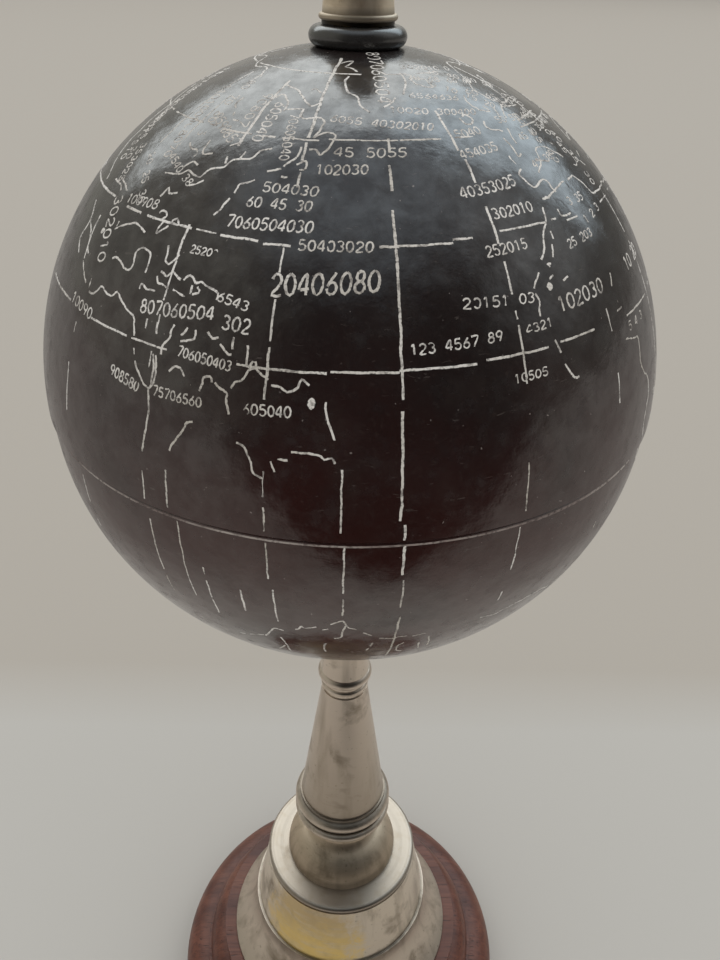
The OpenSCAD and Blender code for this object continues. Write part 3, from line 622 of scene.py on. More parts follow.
# Coasts and rivers, drawn freely by hand, as longitude and latitude
ATLANTIC_COASTS = [
    # Greenland and the north of Canada
    [(-52, 68), (-53.5, 66.5), (-52.5, 65), (-51.5, 63), (-49.5, 62), (-47.5, 61), (-46.5, 58.5),
     (-44, 57)],
    [(-25, 69.5), (-26, 66), (-30, 62)], [(-34, 61), (-36, 59.5), (-39, 58.5)],
    [(-59, 73.5), (-55, 74.5), (-50.5, 75), (-53, 73), (-55, 72), (-51, 71.5), (-48, 70)],
    [(-77.5, 63.5), (-75, 63), (-71.5, 62.5), (-68.5, 61), (-64, 58.5), (-62.5, 58), (-61, 58.5),
     (-60, 59)],
    [(-65.5, 62.5), (-64, 63), (-61.5, 62)], [(-70.5, 56.5), (-65, 57)],
    [(-64.5, 57), (-64.5, 55.5), (-63.5, 54.5), (-60.5, 55), (-58.5, 55), (-57, 54), (-57.5, 52.5),
     (-59, 50)],
    [(-59, 50), (-56.5, 51.5), (-55, 51.5), (-53.5, 51), (-54, 49.5), (-54.5, 48), (-55.5, 47),
     (-56.5, 46.5), (-57.5, 47.5), (-59.5, 47.5)],
    [(-61.5, 48), (-61.5, 46.5), (-62, 45.5), (-63, 44.5), (-64, 43.5)],
    [(-61.5, 44), (-60.5, 44.5), (-59.5, 45), (-59, 44), (-59.5, 43), (-60.5, 43)],
    [(-64, 41.5), (-62.5, 41.5), (-62.5, 42.5), (-62, 43)], [(-67.5, 42), (-66, 42.5), (-64.5, 43)],
    [(-68, 47.5), (-68.5, 47), (-70, 46.5), (-71.5, 46), (-72.5, 44.5), (-74.5, 44), (-77, 43.5),
     (-78, 42), (-79, 41.5), (-81.5, 41), (-83, 39), (-85, 39), (-87, 39.5), (-89, 38.5), (-93.5, 38)],
    [(-75, 45.5), (-75.5, 44)], [(-79, 44), (-78.5, 42.5)],
    [(-89.5, 58), (-89.5, 56), (-87.5, 54.5), (-86.5, 53), (-85, 52), (-83, 52)],
    [(-77, 59.5), (-76, 60.5), (-74.5, 60.5), (-72.5, 59.5), (-71, 58), (-71, 56)],
    [(-93, 45), (-91, 44), (-89, 44), (-88, 43), (-89, 42)],
    [(-87, 46.5), (-87, 44.5), (-86, 43.5), (-83.5, 44)],
    [(-89, 40), (-88, 41), (-87, 41.5), (-85.5, 41)], [(-84.5, 37), (-83, 37.5), (-81.5, 38.5)],
    # The United States, Mexico and the Gulf
    [(-69.5, 40), (-71, 39.5), (-72.5, 39), (-73, 37)],
    [(-73.5, 36), (-74, 35), (-74.5, 33.5), (-75.5, 32.5)],
    [(-90.5, 33.5), (-89.5, 35.5), (-88.5, 34.5), (-86.5, 35)], [(-108, 33.5), (-104.5, 33), (-102, 32)],
    [(-110.5, 32.5), (-106.5, 32.5), (-104.5, 31.5)], [(-99, 28.5), (-98.5, 26.5), (-98.5, 25)],
    [(-98.5, 25), (-97, 26), (-94.5, 27), (-93, 27.5), (-91, 27), (-89.5, 26.5)],
    [(-86, 29.5), (-86.5, 28.5), (-86.5, 27), (-85.5, 28), (-84.5, 29)],
    [(-88.5, 30), (-88, 31), (-86.5, 31), (-86, 30.5), (-87, 29.5)],
    [(-84, 29.5), (-84, 30), (-83, 30.5), (-82, 29.5)],
    [(-95, 20), (-94, 20.5), (-92, 20), (-91, 19.5), (-89.5, 19.5), (-89, 20.5), (-89.5, 22.5),
     (-89, 23.5), (-88, 24), (-86, 23.5), (-85.5, 22.5), (-85.5, 20)],
    [(-82.5, 25.5), (-82, 24), (-82, 23), (-81, 22.5), (-80.5, 23), (-79.5, 24.5)],
    [(-99.5, 18), (-99, 15.5), (-99, 13)], [(-104.5, 16.5), (-102.5, 15), (-100.5, 13.5)],
    [(-106.5, 25.5), (-106, 22.5), (-105, 19), (-104.5, 17)],
    [(-113, 27), (-110, 23.5), (-110.5, 19.5), (-108, 17)],
    [(-98.5, 12.5), (-97, 12.5), (-96, 13.5), (-95.5, 14.5), (-94.5, 14.5), (-93.5, 14), (-91.5, 14),
     (-90.5, 15), (-89, 14), (-88, 13.5), (-87, 13), (-85, 12), (-84.5, 10.5), (-84, 9)],
    [(-85.5, 17), (-85.5, 18), (-85, 18), (-84, 17.5), (-83, 17.5), (-82, 17.5)],
    # The Antilles
    [(-82, 21), (-80.5, 20.5), (-80, 21), (-79.5, 21.5), (-77.5, 20.5)],
    [(-77, 20.5), (-76, 21.5), (-75, 21), (-74.5, 20.5)],
    [(-82.5, 20), (-82, 19), (-81, 19), (-79.5, 18.5), (-78, 18.5), (-76.5, 18), (-75.5, 18),
     (-75, 18.5), (-75, 20)],
    [(-74.5, 18.5), (-73.5, 19), (-73.5, 19.5), (-74, 20)],
    [(-74.5, 20.5), (-73.5, 21), (-72.5, 20.5), (-71, 20), (-70, 19.5), (-70, 18.5)],
    # South America
    [(-76.5, 13), (-77, 12), (-77, 10.5), (-78, 9), (-78, 7.5)], [(-74, 13), (-74.5, 12), (-75, 11.5)],
    [(-72.5, 13), (-72.5, 11.5), (-73.5, 11), (-75, 10.5)], [(-70.5, 13), (-69.5, 12), (-68.5, 12.5)],
    [(-68, 11.5), (-67.5, 11), (-66.5, 10), (-66, 10)], [(-66, 13), (-66, 11)], [(-82, 12.5), (-82, 11)],
    [(-80, 12.5), (-79.5, 10.5)],
    [(-63.5, 12), (-63.5, 11), (-63.5, 9), (-63, 8.5), (-62, 8.5), (-62, 9.5), (-62.5, 9.5), (-63, 8.5)],
    [(-62, 8.5), (-61.5, 8), (-61, 7.5), (-60, 7)],
    [(-62, 8.5), (-63, 8), (-64, 6), (-65, 5.5), (-65.5, 4.5)],
    [(-59.5, 6), (-58.5, 6), (-57.5, 5.5), (-57, 5), (-56, 5.5), (-55.5, 6), (-55, 7.5), (-54, 6.5)],
    [(-51.5, 4), (-51.5, 2.5), (-51, 1), (-50.5, -1), (-50, -2.5)],
    [(-56, -5), (-54.5, -5), (-53.5, -5), (-52, -5.5), (-51.5, -6), (-50.5, -5.5), (-50, -6.5)],
    [(-58, -6.5), (-56.5, -6.5)], [(-59, -7), (-58.5, -9)],
    [(-68, 5), (-67, 4), (-66, 3.5), (-66, 2), (-65.5, 0)],
    [(-70.5, 3), (-70, 4.5), (-70, 5.5), (-69, 6), (-68.5, 5)],
    [(-76, 5), (-75, 6), (-74, 6), (-73, 4.5)],
    [(-64, -4.5), (-63, -5), (-62.5, -6), (-62, -7.5), (-61.5, -9.5), (-60, -10.5)],
    [(-83.5, 7), (-82.5, 4.5), (-81.5, 3), (-80.5, 1.5), (-79.5, 1), (-79, -1.5), (-79, -5), (-79.5, -8),
     (-80, -11)],
    [(-79.5, 7), (-79, 5), (-79, 2), (-79.5, 1)], [(-79, 7), (-78.5, 5), (-78.5, 2.5), (-79.5, 1)],
    [(-71, -2.5), (-72, -3), (-72.5, -4.5), (-73.5, -6), (-74, -7), (-74.5, -8), (-75, -10)],
    # Europe
    [(-15.5, 54.5), (-14.7, 53), (-12.3, 53), (-11, 54.2), (-12.5, 55.3), (-14, 54.8)],
    [(-7.5, 53), (-8.5, 52), (-7.5, 51), (-5, 50.5), (-3.5, 50)], [(3, 57), (2, 54.5), (0.5, 53)],
    [(-5.5, 48.5), (-5, 47), (-5, 45.5), (-5, 44), (-3.5, 44.5)], [(-8, 44.5), (-8, 43.5), (-7, 41.5)],
    [(-7, 41.5), (-8.5, 40.5), (-8, 39.5), (-7.5, 38.5), (-6.5, 37.5), (-4.5, 38), (-2, 38.5),
     (-1, 37.5), (-1, 36.5), (-0.5, 35.5)],
    [(-6, 35), (-5, 35), (-3.5, 35)], [(-0.5, 42.5), (3, 42), (4.5, 41.5)],
    [(8.5, 51.5), (16, 52), (23, 52)],
    # Africa
    [(-7, 33.5), (-8, 31), (-10, 29), (-10.5, 28), (-11.5, 26), (-13, 24.5)],
    [(-14.5, 22.5), (-16, 21), (-16.5, 20)], [(-6.5, 31), (-5, 31)],
    [(-3, 33), (-3, 31.5), (-2, 31), (1, 31)], [(-8, 29), (-8, 27.5)],
    [(-11, 23.5), (-12, 23.5), (-11.5, 23)], [(-16.5, 19), (-16, 17.5), (-16.5, 16), (-16.5, 15)],
    [(-9, 26.5), (-10, 24.5)], [(-11.5, 21.5), (-12.5, 21)], [(4.5, 18), (3.5, 15.5)],
    [(-8, 20.5), (-9.5, 20)],
    [(-14.5, 10.5), (-14, 9), (-13.5, 7.5), (-13, 5.5), (-11.5, 3), (-10.5, 3)], [(3, 11), (5, 11)],
    # The southern land
    [(-69, -58.5), (-66.5, -57.5), (-63.5, -55.5)],
    [(-63, -55.5), (-61.5, -52), (-60.5, -50.5), (-59, -51)],
    [(-58, -50.5), (-56, -49), (-55.5, -47.5), (-55, -48.5), (-53, -47.5)], [(-52, -48.5), (-51, -48)],
    [(-50.5, -46), (-49.5, -45), (-48.5, -44.5), (-48, -46), (-47.5, -47), (-46, -48)],
    [(-48, -46), (-48.5, -49), (-49, -52), (-50, -52.5)], [(-60, -55), (-59.5, -59), (-59.5, -65)],
    [(-60, -60.5), (-62, -65)], [(-51.5, -55.5), (-52, -57.5), (-52, -61.5)],
    [(-43, -55), (-43.5, -58.5), (-44, -60)], [(-45, -49.5), (-43.5, -51)],
    [(-42, -52.5), (-39.5, -53), (-38.5, -52.5), (-37, -52.5)],
    [(-37, -56.5), (-38, -59), (-37.5, -62.5), (-35.5, -63.5)], [(-34, -58), (-33, -62.5)],
    [(-32.5, -54.5), (-31.5, -59.5), (-31.5, -62.5)], [(-36, -53), (-33.5, -52.5)],
    [(-30, -51.5), (-29.5, -51)],
]
OTHER_COASTS = [
    [(-104, 18), (-107, 22), (-110, 24), (-113, 29), (-117, 33), (-122, 37), (-124, 44), (-126, 50),
     (-133, 56), (-141, 60), (-151, 60), (-158, 57), (-163, 61), (-166, 66), (-156, 71), (-140, 70),
     (-125, 71), (-112, 68), (-100, 68), (-94, 65), (-90, 66), (-85, 63), (-88, 61), (-91, 59)],
    [(-2, 40), (1, 42), (4, 45), (9, 44), (13, 41), (16, 38), (18, 40), (13, 45), (19, 42), (22, 37),
     (25, 40), (30, 37), (36, 36), (34, 31), (25, 32), (15, 32), (10, 37), (0, 36), (-6, 35)],
    [(-2, 47), (-1, 50), (4, 53), (8, 56), (11, 55), (19, 55), (24, 59), (22, 62), (25, 65), (18, 62),
     (16, 57), (12, 56), (6, 58), (5, 62), (14, 68), (26, 71), (40, 67), (37, 64), (44, 67), (60, 69),
     (69, 73), (85, 74), (104, 77), (115, 73), (130, 71), (145, 72), (162, 70), (179, 68), (178, 64),
     (164, 60), (157, 52), (156, 59), (138, 54), (141, 48), (131, 43), (127, 39), (127, 35), (124, 39),
     (118, 38), (121, 33), (120, 27), (114, 22), (107, 20), (109, 13), (104, 9), (101, 12), (103, 2),
     (99, 8), (97, 16), (91, 22), (86, 20), (80, 14), (77, 8), (73, 17), (69, 22), (62, 25), (57, 26),
     (50, 30), (52, 25), (59, 22), (53, 17), (44, 13), (39, 21), (34, 28)],
    [(-5, 56), (-1, 55), (-2, 58), (-5, 60), (-6, 58), (-5, 56)],
    [(-22, 65), (-15, 64), (-14, 67), (-22, 67), (-22, 65)],
    [(1, 5), (5, 5), (9, 3), (9, -2), (13, -9), (12, -18), (16, -29), (20, -34), (27, -33), (33, -27),
     (35, -20), (40, -15), (39, -5), (46, 3), (51, 11), (44, 12), (38, 18), (33, 29)],
    [(44, -24), (44, -17), (49, -13), (50, -17), (47, -25), (44, -24)],
    [(29, 42), (32, 46), (39, 47), (41, 42), (35, 43), (29, 42)],
    [(50, 37), (49, 42), (52, 46), (54, 40), (50, 37)],
    [(130, 32), (136, 35), (141, 38), (142, 43), (145, 45)], [(95, 5), (101, -1), (106, -6), (115, -8)],
    [(109, 1), (111, -3), (116, -4), (118, 5), (113, 3), (109, 1)],
    [(131, -1), (141, -3), (150, -10), (141, -9), (134, -4), (131, -1)],
    [(120, 18), (122, 14), (126, 9)],
    [(114, -22), (122, -17), (130, -12), (136, -12), (136, -16), (140, -17), (142, -11), (146, -19),
     (153, -26), (150, -37), (144, -38), (138, -34), (131, -31), (124, -33), (115, -34), (114, -22)],
    [(173, -35), (178, -38), (172, -44), (167, -46), (172, -40), (173, -35)],
]
# Spots where the filling was smeared, each as a short thick stroke
SMEARS = [[(-53.5, 4.5), (-53.5, 3.5), (-53.5, 2.5)], [(-13, 20.5), (-13, 19)], [(-102.5, 24), (-102, 23)]]
coasts = new_lines()
for number, coast in enumerate(ATLANTIC_COASTS):
    engrave(coasts, [spot(*place) for place in coast], width=0.32 * MM, kept=1.05, seed=number * 1.7,
            stride=0.45 * MM, wander=0.20 * MM)
for number, coast in enumerate(OTHER_COASTS):
    engrave(coasts, [spot(*place) for place in coast], width=0.30 * MM, kept=0.85, seed=number * 2.3,
            stride=0.6 * MM, wander=0.55 * MM)
for smear in SMEARS:
    path = drawn_path([spot(*place) for place in smear], stride=0.2 * MM, wander=0.1 * MM)
    # A smear is widest at its middle and round at its ends
    swell = [math.sin(math.pi * (i + 0.3) / (len(path) - 0.4)) ** 0.7 for i in range(len(path))]
    lay_strip(coasts, list(zip(path, swell)), half_width=0.75 * MM)
# The southern land's coast runs on round the ball as an uneven ring
south = [spot(longitude, -51 + 2.5 * noise.noise(Vector((longitude * 0.13, 0, 0))))
         for longitude in range(-24, 244, 4)]
engrave(coasts, south, width=0.28 * MM, kept=0.85, seed=9.3, wander=0.5 * MM)
filled_lines("coasts", coasts)

# A painted highlight runs round the seam, just under the upper cup's edge, where the lower cup's bevel
# catches the light
SEAM_LINE_DROP = math.radians(0.74)


def seam_highlight_finish():
    material, tree, shader = new_finish("seam_highlight_finish")
    blotches = mottle(tree, own_place(tree), 38, detail=4, roughness=0.6)
    flecks = mottle(tree, own_place(tree), 1500, detail=3)
    # Painted highlight: pale blotches, flecked darker
    highlight_colour = cover(tree, (0.20, 0.155, 0.14), (0.50, 0.45, 0.41), blotches, 0.42, 0.62)
    highlight_colour = cover(tree, highlight_colour, (0.07, 0.05, 0.045), flecks, 0.50, 0.66, 0.8)
    tree.links.new(highlight_colour, shader.inputs["Base Color"])
    shader.inputs["Roughness"].default_value = 0.8
    raise_surface(tree, shader, flecks, 0.03 * MM)
    return material


seam_line = new_lines()
# The ring is laid as six arcs
for start in range(0, 360, 60):
    below = [Vector((math.cos(math.radians(start + a)) * math.cos(SEAM_LINE_DROP),
                     math.sin(math.radians(start + a)) * math.cos(SEAM_LINE_DROP), -math.sin(SEAM_LINE_DROP)))
             for a in range(0, 61, 4)]
    path = drawn_path(below, stride=1.5 * MM, wander=0.05 * MM)
    lay_strip(seam_line, [(direction, 1.0) for direction in path], half_width=0.21 * MM)
seam_highlight_strip = filled_lines("seam_highlight_strip", seam_line)
seam_highlight_strip.data.materials[0] = seam_highlight_finish()

# Numbers, in an engraver's single strokes on a unit square. Widened by this factor, a digit of
# the square fills most of its pitch.
DIGIT_SPREAD = 1.2


def bow(x, y, width, height, start, end):
    """Part of an ellipse round (x, y) between two angles in degrees, with a corner about every 36."""
    steps = max(2, round(abs(end - start) / 36))
    angles = [math.radians(start + (end - start) * i / steps) for i in range(steps + 1)]
    return [(x + width * math.cos(a), y + height * math.sin(a)) for a in angles]


STROKES = {
    "0": [bow(0.3, 0.5, 0.3, 0.5, 90, 450)],
    "1": [[(0.12, 0.8), (0.32, 1.0), (0.32, 0.0)]],
    "2": [bow(0.3, 0.72, 0.28, 0.28, 170, -35) + [(0.02, 0.0), (0.6, 0.0)]],
    "3": [bow(0.27, 0.76, 0.27, 0.24, 150, -80) + bow(0.27, 0.27, 0.3, 0.27, 80, -150)],
    "4": [[(0.44, 0.0), (0.44, 1.0), (0.0, 0.3), (0.62, 0.3)]],
    "5": [[(0.55, 1.0), (0.1, 1.0), (0.06, 0.56)] + bow(0.28, 0.31, 0.31, 0.31, 120, -150)],
    "6": [[(0.5, 1.0), (0.1, 0.5)] + bow(0.3, 0.29, 0.29, 0.29, 160, -180)],
    "7": [[(0.0, 1.0), (0.6, 1.0), (0.2, 0.0)]],
    "8": [bow(0.3, 0.77, 0.23, 0.23, 270, -90), bow(0.3, 0.27, 0.3, 0.27, 90, 450)],
    "9": [bow(0.3, 0.71, 0.29, 0.29, 0, 330) + [(0.58, 0.7), (0.36, 0.0)]],
}


def on_map(longitude, latitude, east, north):
    """A place that lies east and north of another, in metres over the ball's skin."""
    new_latitude = latitude + math.degrees(north / ball_radius) / MAP_HEIGHT
    girth = math.sin(math.radians(MAP_HEIGHT * (90 - new_latitude)))
    return spot(longitude + math.degrees(east / ball_radius) / girth, new_latitude)


def engrave_number(bm, longitude, latitude, digits, height, pitch, heading):
    """Engraves digits in a row that starts at a place. heading is its slope in degrees."""
    along = math.cos(math.radians(heading))
    up = math.sin(math.radians(heading))
    # Larger digits are cut heavier, and have kept more of their paint
    thickness = 0.10 * MM + 0.095 * height
    kept = 1.0 + 100 * height
    # A space leaves its place bare, because it has no strokes
    for number, digit in enumerate(digits):
        for stroke in STROKES.get(digit, []):
            corners = []
            for x, y in stroke:
                right = (number + x * DIGIT_SPREAD) * pitch
                over = y * height
                east = right * along - over * up
                north = right * up + over * along
                corners.append(on_map(longitude, latitude, east, north))
            engrave(bm, corners, thickness, kept=kept, seed=number + longitude,
                    stride=0.18 * height, wander=0.08 * MM)


# Each row's start as longitude and latitude, its digits, their height and pitch in
# millimetres, and its slope in degrees
NUMBERS = [
    (-61, 20.5, "20406080", 3.0, 1.9, 5), (-57.6, 28.4, "50403020", 1.5, 1.32, 1),
    (-72, 31, "7060504030", 1.7, 1.28, 2), (-69.4, 35.1, "60 45 30", 1.6, 1.22, 1),
    (-67, 38.2, "504030", 1.5, 1.38, 0), (-53, 46.3, "45 5055", 1.6, 1.52, 0),
    (-56.5, 42.4, "102030", 1.6, 1.25, 3), (-55.6, 54.3, "6055 40302010", 1.4, 1.22, -7),
    (-38.6, 80, "807060504", 2.0, 1.95, -93), (-37.4, 57, "10020 300400", 1.3, 1.24, -7),
    (-28.3, 61.1, "6564636", 1.2, 1.24, -11), (-20.1, 49.8, "5040", 1.5, 1.25, 5),
    (-21.8, 45.2, "454035", 1.5, 1.25, 7), (-25.6, 37.4, "40353025", 1.7, 1.3, 6),
    (-20.1, 33, "302010", 1.6, 1.3, 2), (-24, 26.6, "252015", 1.5, 1.25, 3),
    (-30.2, 18.5, "20151 03", 1.4, 1.52, -3), (-12, 14.9, "102030", 2.2, 1.95, 3),
    (-39.2, 11.6, "123 4567 89", 1.4, 1.28, 3), (-19.6, 12.7, "4321", 1.2, 1.3, 4),
    (-23, 4.9, "10505", 1.2, 1.25, 1), (-83.9, 13.2, "807060504", 1.9, 1.45, 7),
    (-68.2, 14, "302", 1.9, 1.5, -2), (-70, 18.4, "6543", 1.3, 1.3, -10),
    (-75, 8, "706050403", 1.4, 1.0, -4), (-78.4, 0.1, "75706560", 1.4, 1.08, 1),
    (-63.3, 0.6, "605040", 1.5, 1.2, 2), (-87.8, 0.8, "908580", 1.6, 1.1, -9),
    (-104.6, 30, "302010", 2.0, 1.93, -65), (-99.8, 30.1, "100908", 1.5, 1.35, 6),
    (-103.7, 8.8, "10090", 1.7, 1.6, -5), (-77.5, 25.4, "25203", 1.1, 0.95, 0),
    (-68, 55.3, "70605040", 1.4, 1.17, -81), (-75.2, 58.1, "605040", 1.7, 1.45, -90),
    (-82.4, 60.2, "90807", 1.5, 1.65, -89), (-93, 51.6, "9590857", 1.6, 1.42, -30),
    (-97, 63, "80 70 60 5", 1.4, 1.4, -80), (-106, 60, "110100908070", 1.5, 1.45, -72),
    (-128.8, 58.2, "12011511010510", 1.6, 1.5, -66), (-134, 63, "1501401301201", 1.6, 1.48, -60),
    (-122, 48.5, "40 35 30", 1.5, 1.5, -60), (-112, 41, "353025", 1.5, 1.3, -70),
    (-104, 40, "20 25 30", 1.3, 1.3, -50), (-96, 41, "4540 38", 1.2, 1.3, -25),
    (-24, 67, "70 68 66 64", 1.4, 1.2, -14), (-15.6, 64.5, "5 10 15 20", 1.3, 1.2, -40),
    (-22, 71.5, "302010 0", 1.3, 1.3, -14), (-10, 69, "30 40 50 60", 1.3, 1.3, -30),
    (-2, 61, "60 65 70", 1.4, 1.3, -30), (18.7, 63.4, "65 60 55 50 45", 1.5, 1.35, -96),
    (8, 58, "55 50 45 40", 1.4, 1.35, -92), (-2, 52, "50 55 60", 1.3, 1.25, -4),
    (1, 47, "45 40 35", 1.3, 1.2, 5), (-2, 41, "40 38", 1.3, 1.3, 6),
    (21, 57, "50 45 40 35 30", 1.5, 1.45, -98), (1.6, 32.3, "3 35", 1.3, 1.3, 0),
    (-4.8, 25.1, "25 203", 1.3, 1.25, 4), (4, 28, "1 2 3", 1.3, 1.4, 8), (12, 16, "10 20", 2.2, 1.9, 2),
    (6, 6, "5 4 3", 1.4, 1.4, 0), (18, -14, "10 15", 1.5, 1.4, 0), (22, 48, "40 45", 1.4, 1.3, 2),
    (40, 52, "40 50 60", 1.7, 1.5, 0), (70, 40, "70 80 90", 1.7, 1.5, 0),
    (88, 58, "90 100 110", 2.4, 2.0, 0), (60, -6, "60708090", 3.0, 2.0, 0),
    (74, 20, "20 25", 1.5, 1.4, 0), (103, 32, "105 110", 1.6, 1.4, 0),
    (120, -26, "2025303", 2.4, 2.0, 0), (146, 38, "145 150", 1.5, 1.4, 0),
    (155, 14, "16017018", 3.0, 2.0, 0), (-160, 45, "16015014", 1.7, 1.5, 0),
    (-158, -4, "3020100", 3.0, 2.0, 0), (-150, 20, "150 155", 1.5, 1.4, 0),
    (-140, 30, "130 120", 1.6, 1.4, 0),
]
numbers = new_lines()
for longitude, latitude, digits, height, pitch, heading in NUMBERS:
    engrave_number(numbers, longitude, latitude, digits, height * MM, pitch * MM, heading)
filled_lines("numbers", numbers)

# Finial
# Turned brass under satin nickel that has gone brown with handling, screwed down on the tie
# rod. A flange, a tapered body, a bead and a round knob with a small tip.


def finial_finish():
    """The plate is darker on the flange, at the finial's foot."""
    material, tree, shader, metal = turned_metal(
        "dulled_nickel_plate", (0.90, 0.78, 0.62), (0.55, 0.43, 0.31), 0.50, 0.45)
    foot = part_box("finial")[0].z
    # Darker colour low on the finial, on the flange
    flange_darkening = spread(tree, height_on(tree), foot + 1.2 * MM, foot + 2.2 * MM, 0.70, 0.0)
    metal = blend_colours(tree, flange_darkening, metal, TARNISH)
    tree.links.new(metal, shader.inputs["Base Color"])
    return material


give_finish(finial_finish(), "finial")

# Room
# A pale desk under even light and a wide window high behind the globe, bluer to the right
# of its post. The desk turns a little warmer and darker towards the back.
CAMERA_PLACE = Vector((0, -155.5, 75.7)) * MM
CAMERA_YAW = math.radians(-0.94)
CAMERA_PITCH = math.radians(33.84)
CAMERA_ROLL = math.radians(1.69)
CAMERA_LENS = 30.75
CAMERA_NEAREST = 10 * MM
# The desk and the window, in metres
DESK_SIZE = 24.0
DESK_FRONT = (0.555, 0.540, 0.500)
DESK_BACK = (0.490, 0.455, 0.400)
DESK_EDGE = 0.125
DESK_EDGE_BLUR = 0.02
# Painted reflection: what shiny surfaces see of the desk, lighter near the globe, out to these distances from
# the globe
DESK_MIRRORED = (0.67, 0.64, 0.585)
DESK_MIRRORED_FAR = (0.43, 0.405, 0.37)
MIRRORED_REACH = 0.15
MIRRORED_FAR_REACH = 0.27
# The painted shade on the desk in front, which only shiny surfaces see, is a wedge with its tip to the right
# of the axis
SHADE_TIP_X = 0.06
SHADE_TIP_Y = -0.20
SHADE_BLUR = 0.05
SHADE_SLOPE_LEFT = -0.95
SHADE_SLOPE_RIGHT = 0.38
UNLIT = (0.0, 0.0, 0.0)
DARK_BEARING = (0.21, -0.98, 0)
RIGHT_WALL = (0.175, 0.172, 0.155)
LEFT_WALL = (0.40, 0.393, 0.345)
BACK_WALL = (0.54, 0.52, 0.47)
LIT_WALL = (0.70, 0.72, 0.72)
CEILING = (0.60, 0.68, 0.74)
AMBIENT = (0.78, 0.78, 0.78)
WINDOW_LEFT = -7.5
WINDOW_POST = 1.95
WINDOW_RIGHT = 10.5
WINDOW_DISTANCE = 6.0
WINDOW_SILL = 3.4
RIGHT_SILL = 3.65
WINDOW_TOP = 17.5


def desk_top():
    """The desk. Shiny surfaces see it with a painted reflection, lighter near the globe, and a painted shade
    in front.
    """
    bm = bmesh.new()
    bmesh.ops.create_grid(bm, x_segments=1, y_segments=1, size=DESK_SIZE / 2)
    desk = finished_piece("desk", bm, math.radians(30))
    material, tree, shader = new_finish("desk_paint")
    parts = add_node(tree, "SeparateXYZ", {"Vector": own_place(tree)})
    edge = (DESK_EDGE - DESK_EDGE_BLUR, DESK_EDGE + DESK_EDGE_BLUR)
    paint = cover(tree, DESK_FRONT, DESK_BACK, parts.outputs["Y"], *edge)
    reach = add_node(tree, "VectorMath", {0: own_place(tree)}, operation="LENGTH").outputs["Value"]
    mirrored = cover(tree, DESK_MIRRORED, DESK_MIRRORED_FAR, reach, MIRRORED_REACH, MIRRORED_FAR_REACH)
    right = figure(tree, "SUBTRACT", parts.outputs["X"], SHADE_TIP_X)
    aside = figure(tree, "MULTIPLY", right, SHADE_SLOPE_RIGHT)
    aside = figure(tree, "MAXIMUM", aside, figure(tree, "MULTIPLY", right, SHADE_SLOPE_LEFT))
    shaded = figure(tree, "ADD", parts.outputs["Y"], aside)
    mirrored = cover(tree, mirrored, UNLIT, shaded, SHADE_TIP_Y, SHADE_TIP_Y - SHADE_BLUR)
    # Only glossy rays see the painted reflection and painted shade
    paint = blend_colours(tree, add_node(tree, "LightPath", {}).outputs["Is Glossy Ray"], paint, mirrored)
    tree.links.new(paint, shader.inputs["Base Color"])
    shader.inputs["Roughness"].default_value = 0.8
    shader.inputs["Specular IOR Level"].default_value = 0.2
    desk.data.materials.append(material)


def hang_window(name, left, right, sill, radiance, colour, dull, shiny):
    """One light in the window behind the globe, that dull or shiny surfaces see."""
    lamp = bpy.data.lights.new(name, "AREA")
    lamp.shape = "RECTANGLE"
    lamp.size = right - left
    lamp.size_y = WINDOW_TOP - sill
    lamp.energy = math.pi * radiance * lamp.size * lamp.size_y
    lamp.color = colour
    light = bpy.data.objects.new(name, lamp)
    light.location = ((left + right) / 2, WINDOW_DISTANCE, (sill + WINDOW_TOP) / 2)
    light.rotation_euler = (math.radians(-90), 0, 0)
    light.visible_camera = False
    light.visible_diffuse = dull
    light.visible_glossy = shiny
    bpy.context.scene.collection.objects.link(light)


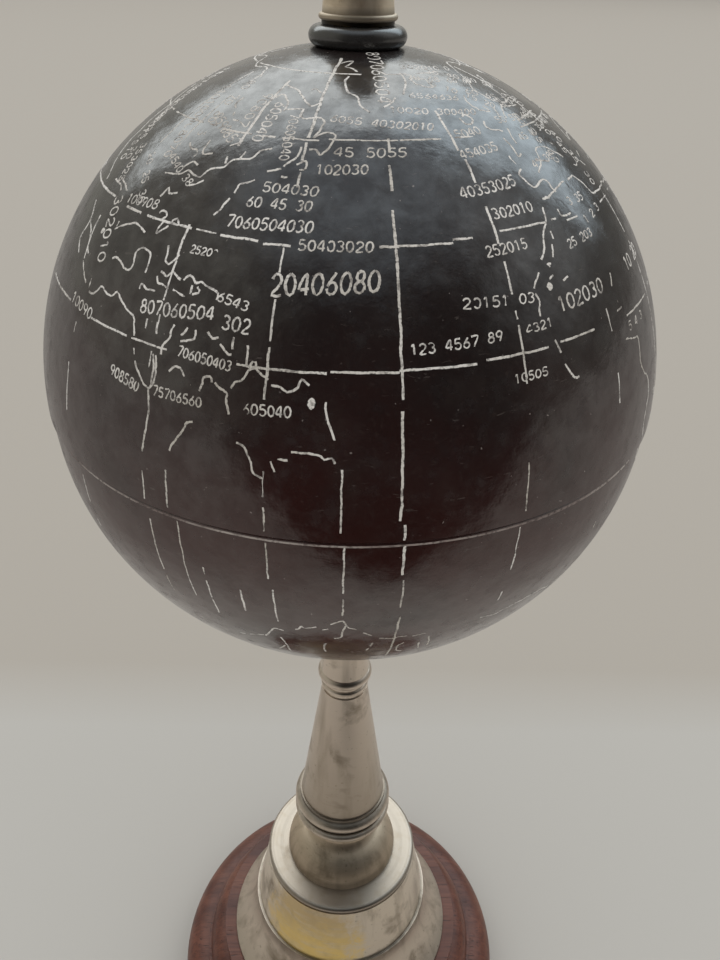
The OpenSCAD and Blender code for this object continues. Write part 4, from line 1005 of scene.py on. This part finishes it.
def room_light():
    """Even light on dull surfaces. Shiny ones see a dark front, lighter sides and a ceiling."""
    world = bpy.data.worlds.new("room")
    bpy.context.scene.world = world
    world.use_nodes = True
    tree = world.node_tree
    direction = add_node(tree, "TexCoord", {}).outputs["Generated"]
    parts = add_node(tree, "SeparateXYZ", {"Vector": direction})
    flat = add_node(tree, "CombineXYZ", {"X": parts.outputs["X"], "Y": parts.outputs["Y"]})
    level = add_node(tree, "VectorMath", {0: flat.outputs["Vector"]}, operation="NORMALIZE").outputs["Vector"]
    bearing = add_node(tree, "SeparateXYZ", {"Vector": level})
    facing = add_node(tree, "VectorMath", {0: level, 1: DARK_BEARING}, operation="DOT_PRODUCT")
    # A direction's parts go from -1 to 1: X to the right, Y to the back and Z up
    aside = spread(tree, facing.outputs["Value"], 0.85, 0.25)
    walls = cover(tree, RIGHT_WALL, LEFT_WALL, bearing.outputs["X"], 0.6, -0.6)
    walls = cover(tree, walls, BACK_WALL, bearing.outputs["Y"], 0.80, 0.96)
    # The wall beside the window's right edge catches its light, higher up
    lit_wall = figure(tree, "MULTIPLY", spread(tree, bearing.outputs["X"], 0.80, 1.0),
                      spread(tree, parts.outputs["Z"], 0.15, 0.60))
    walls = blend_colours(tree, lit_wall, walls, LIT_WALL)
    mirrored = blend_colours(tree, aside, UNLIT, walls)
    mirrored = cover(tree, mirrored, CEILING, parts.outputs["Z"], 0.74, 0.97)
    rays = add_node(tree, "LightPath", {})
    seen = blend_colours(tree, rays.outputs["Is Glossy Ray"], AMBIENT, mirrored)
    seen = blend_colours(tree, rays.outputs["Is Camera Ray"], seen, DESK_BACK)
    background = tree.nodes["Background"]
    tree.links.new(seen, background.inputs["Color"])
    background.inputs["Strength"].default_value = 1.0


def place_camera():
    forward = Vector((-math.sin(CAMERA_YAW) * math.cos(CAMERA_PITCH),
                      math.cos(CAMERA_YAW) * math.cos(CAMERA_PITCH), -math.sin(CAMERA_PITCH)))
    level = Vector((math.cos(CAMERA_YAW), math.sin(CAMERA_YAW), 0))
    below = forward.cross(level)
    right = level * math.cos(CAMERA_ROLL) - below * math.sin(CAMERA_ROLL)
    up = -(level * math.sin(CAMERA_ROLL) + below * math.cos(CAMERA_ROLL))
    camera = bpy.data.objects.new("camera", bpy.data.cameras.new("camera"))
    bpy.context.scene.collection.objects.link(camera)
    turn = Matrix((right, up, -forward)).transposed().to_4x4()
    camera.matrix_world = Matrix.Translation(ball_middle + CAMERA_PLACE) @ turn
    camera.data.lens = CAMERA_LENS
    camera.data.clip_start = CAMERA_NEAREST
    bpy.context.scene.camera = camera


desk_top()
hang_window("mirrored_left", WINDOW_LEFT, WINDOW_POST, WINDOW_SILL,
            radiance=2.25, colour=(0.93, 0.985, 0.995), dull=False, shiny=True)
hang_window("mirrored_right", WINDOW_POST, WINDOW_RIGHT, RIGHT_SILL,
            radiance=2.4, colour=(0.78, 0.915, 1.0), dull=False, shiny=True)
hang_window("window_light", WINDOW_LEFT, WINDOW_RIGHT, WINDOW_SILL,
            radiance=1.05, colour=(1.0, 1.0, 1.0), dull=True, shiny=False)
room_light()
place_camera()
bpy.context.scene.view_settings.view_transform = "Standard"
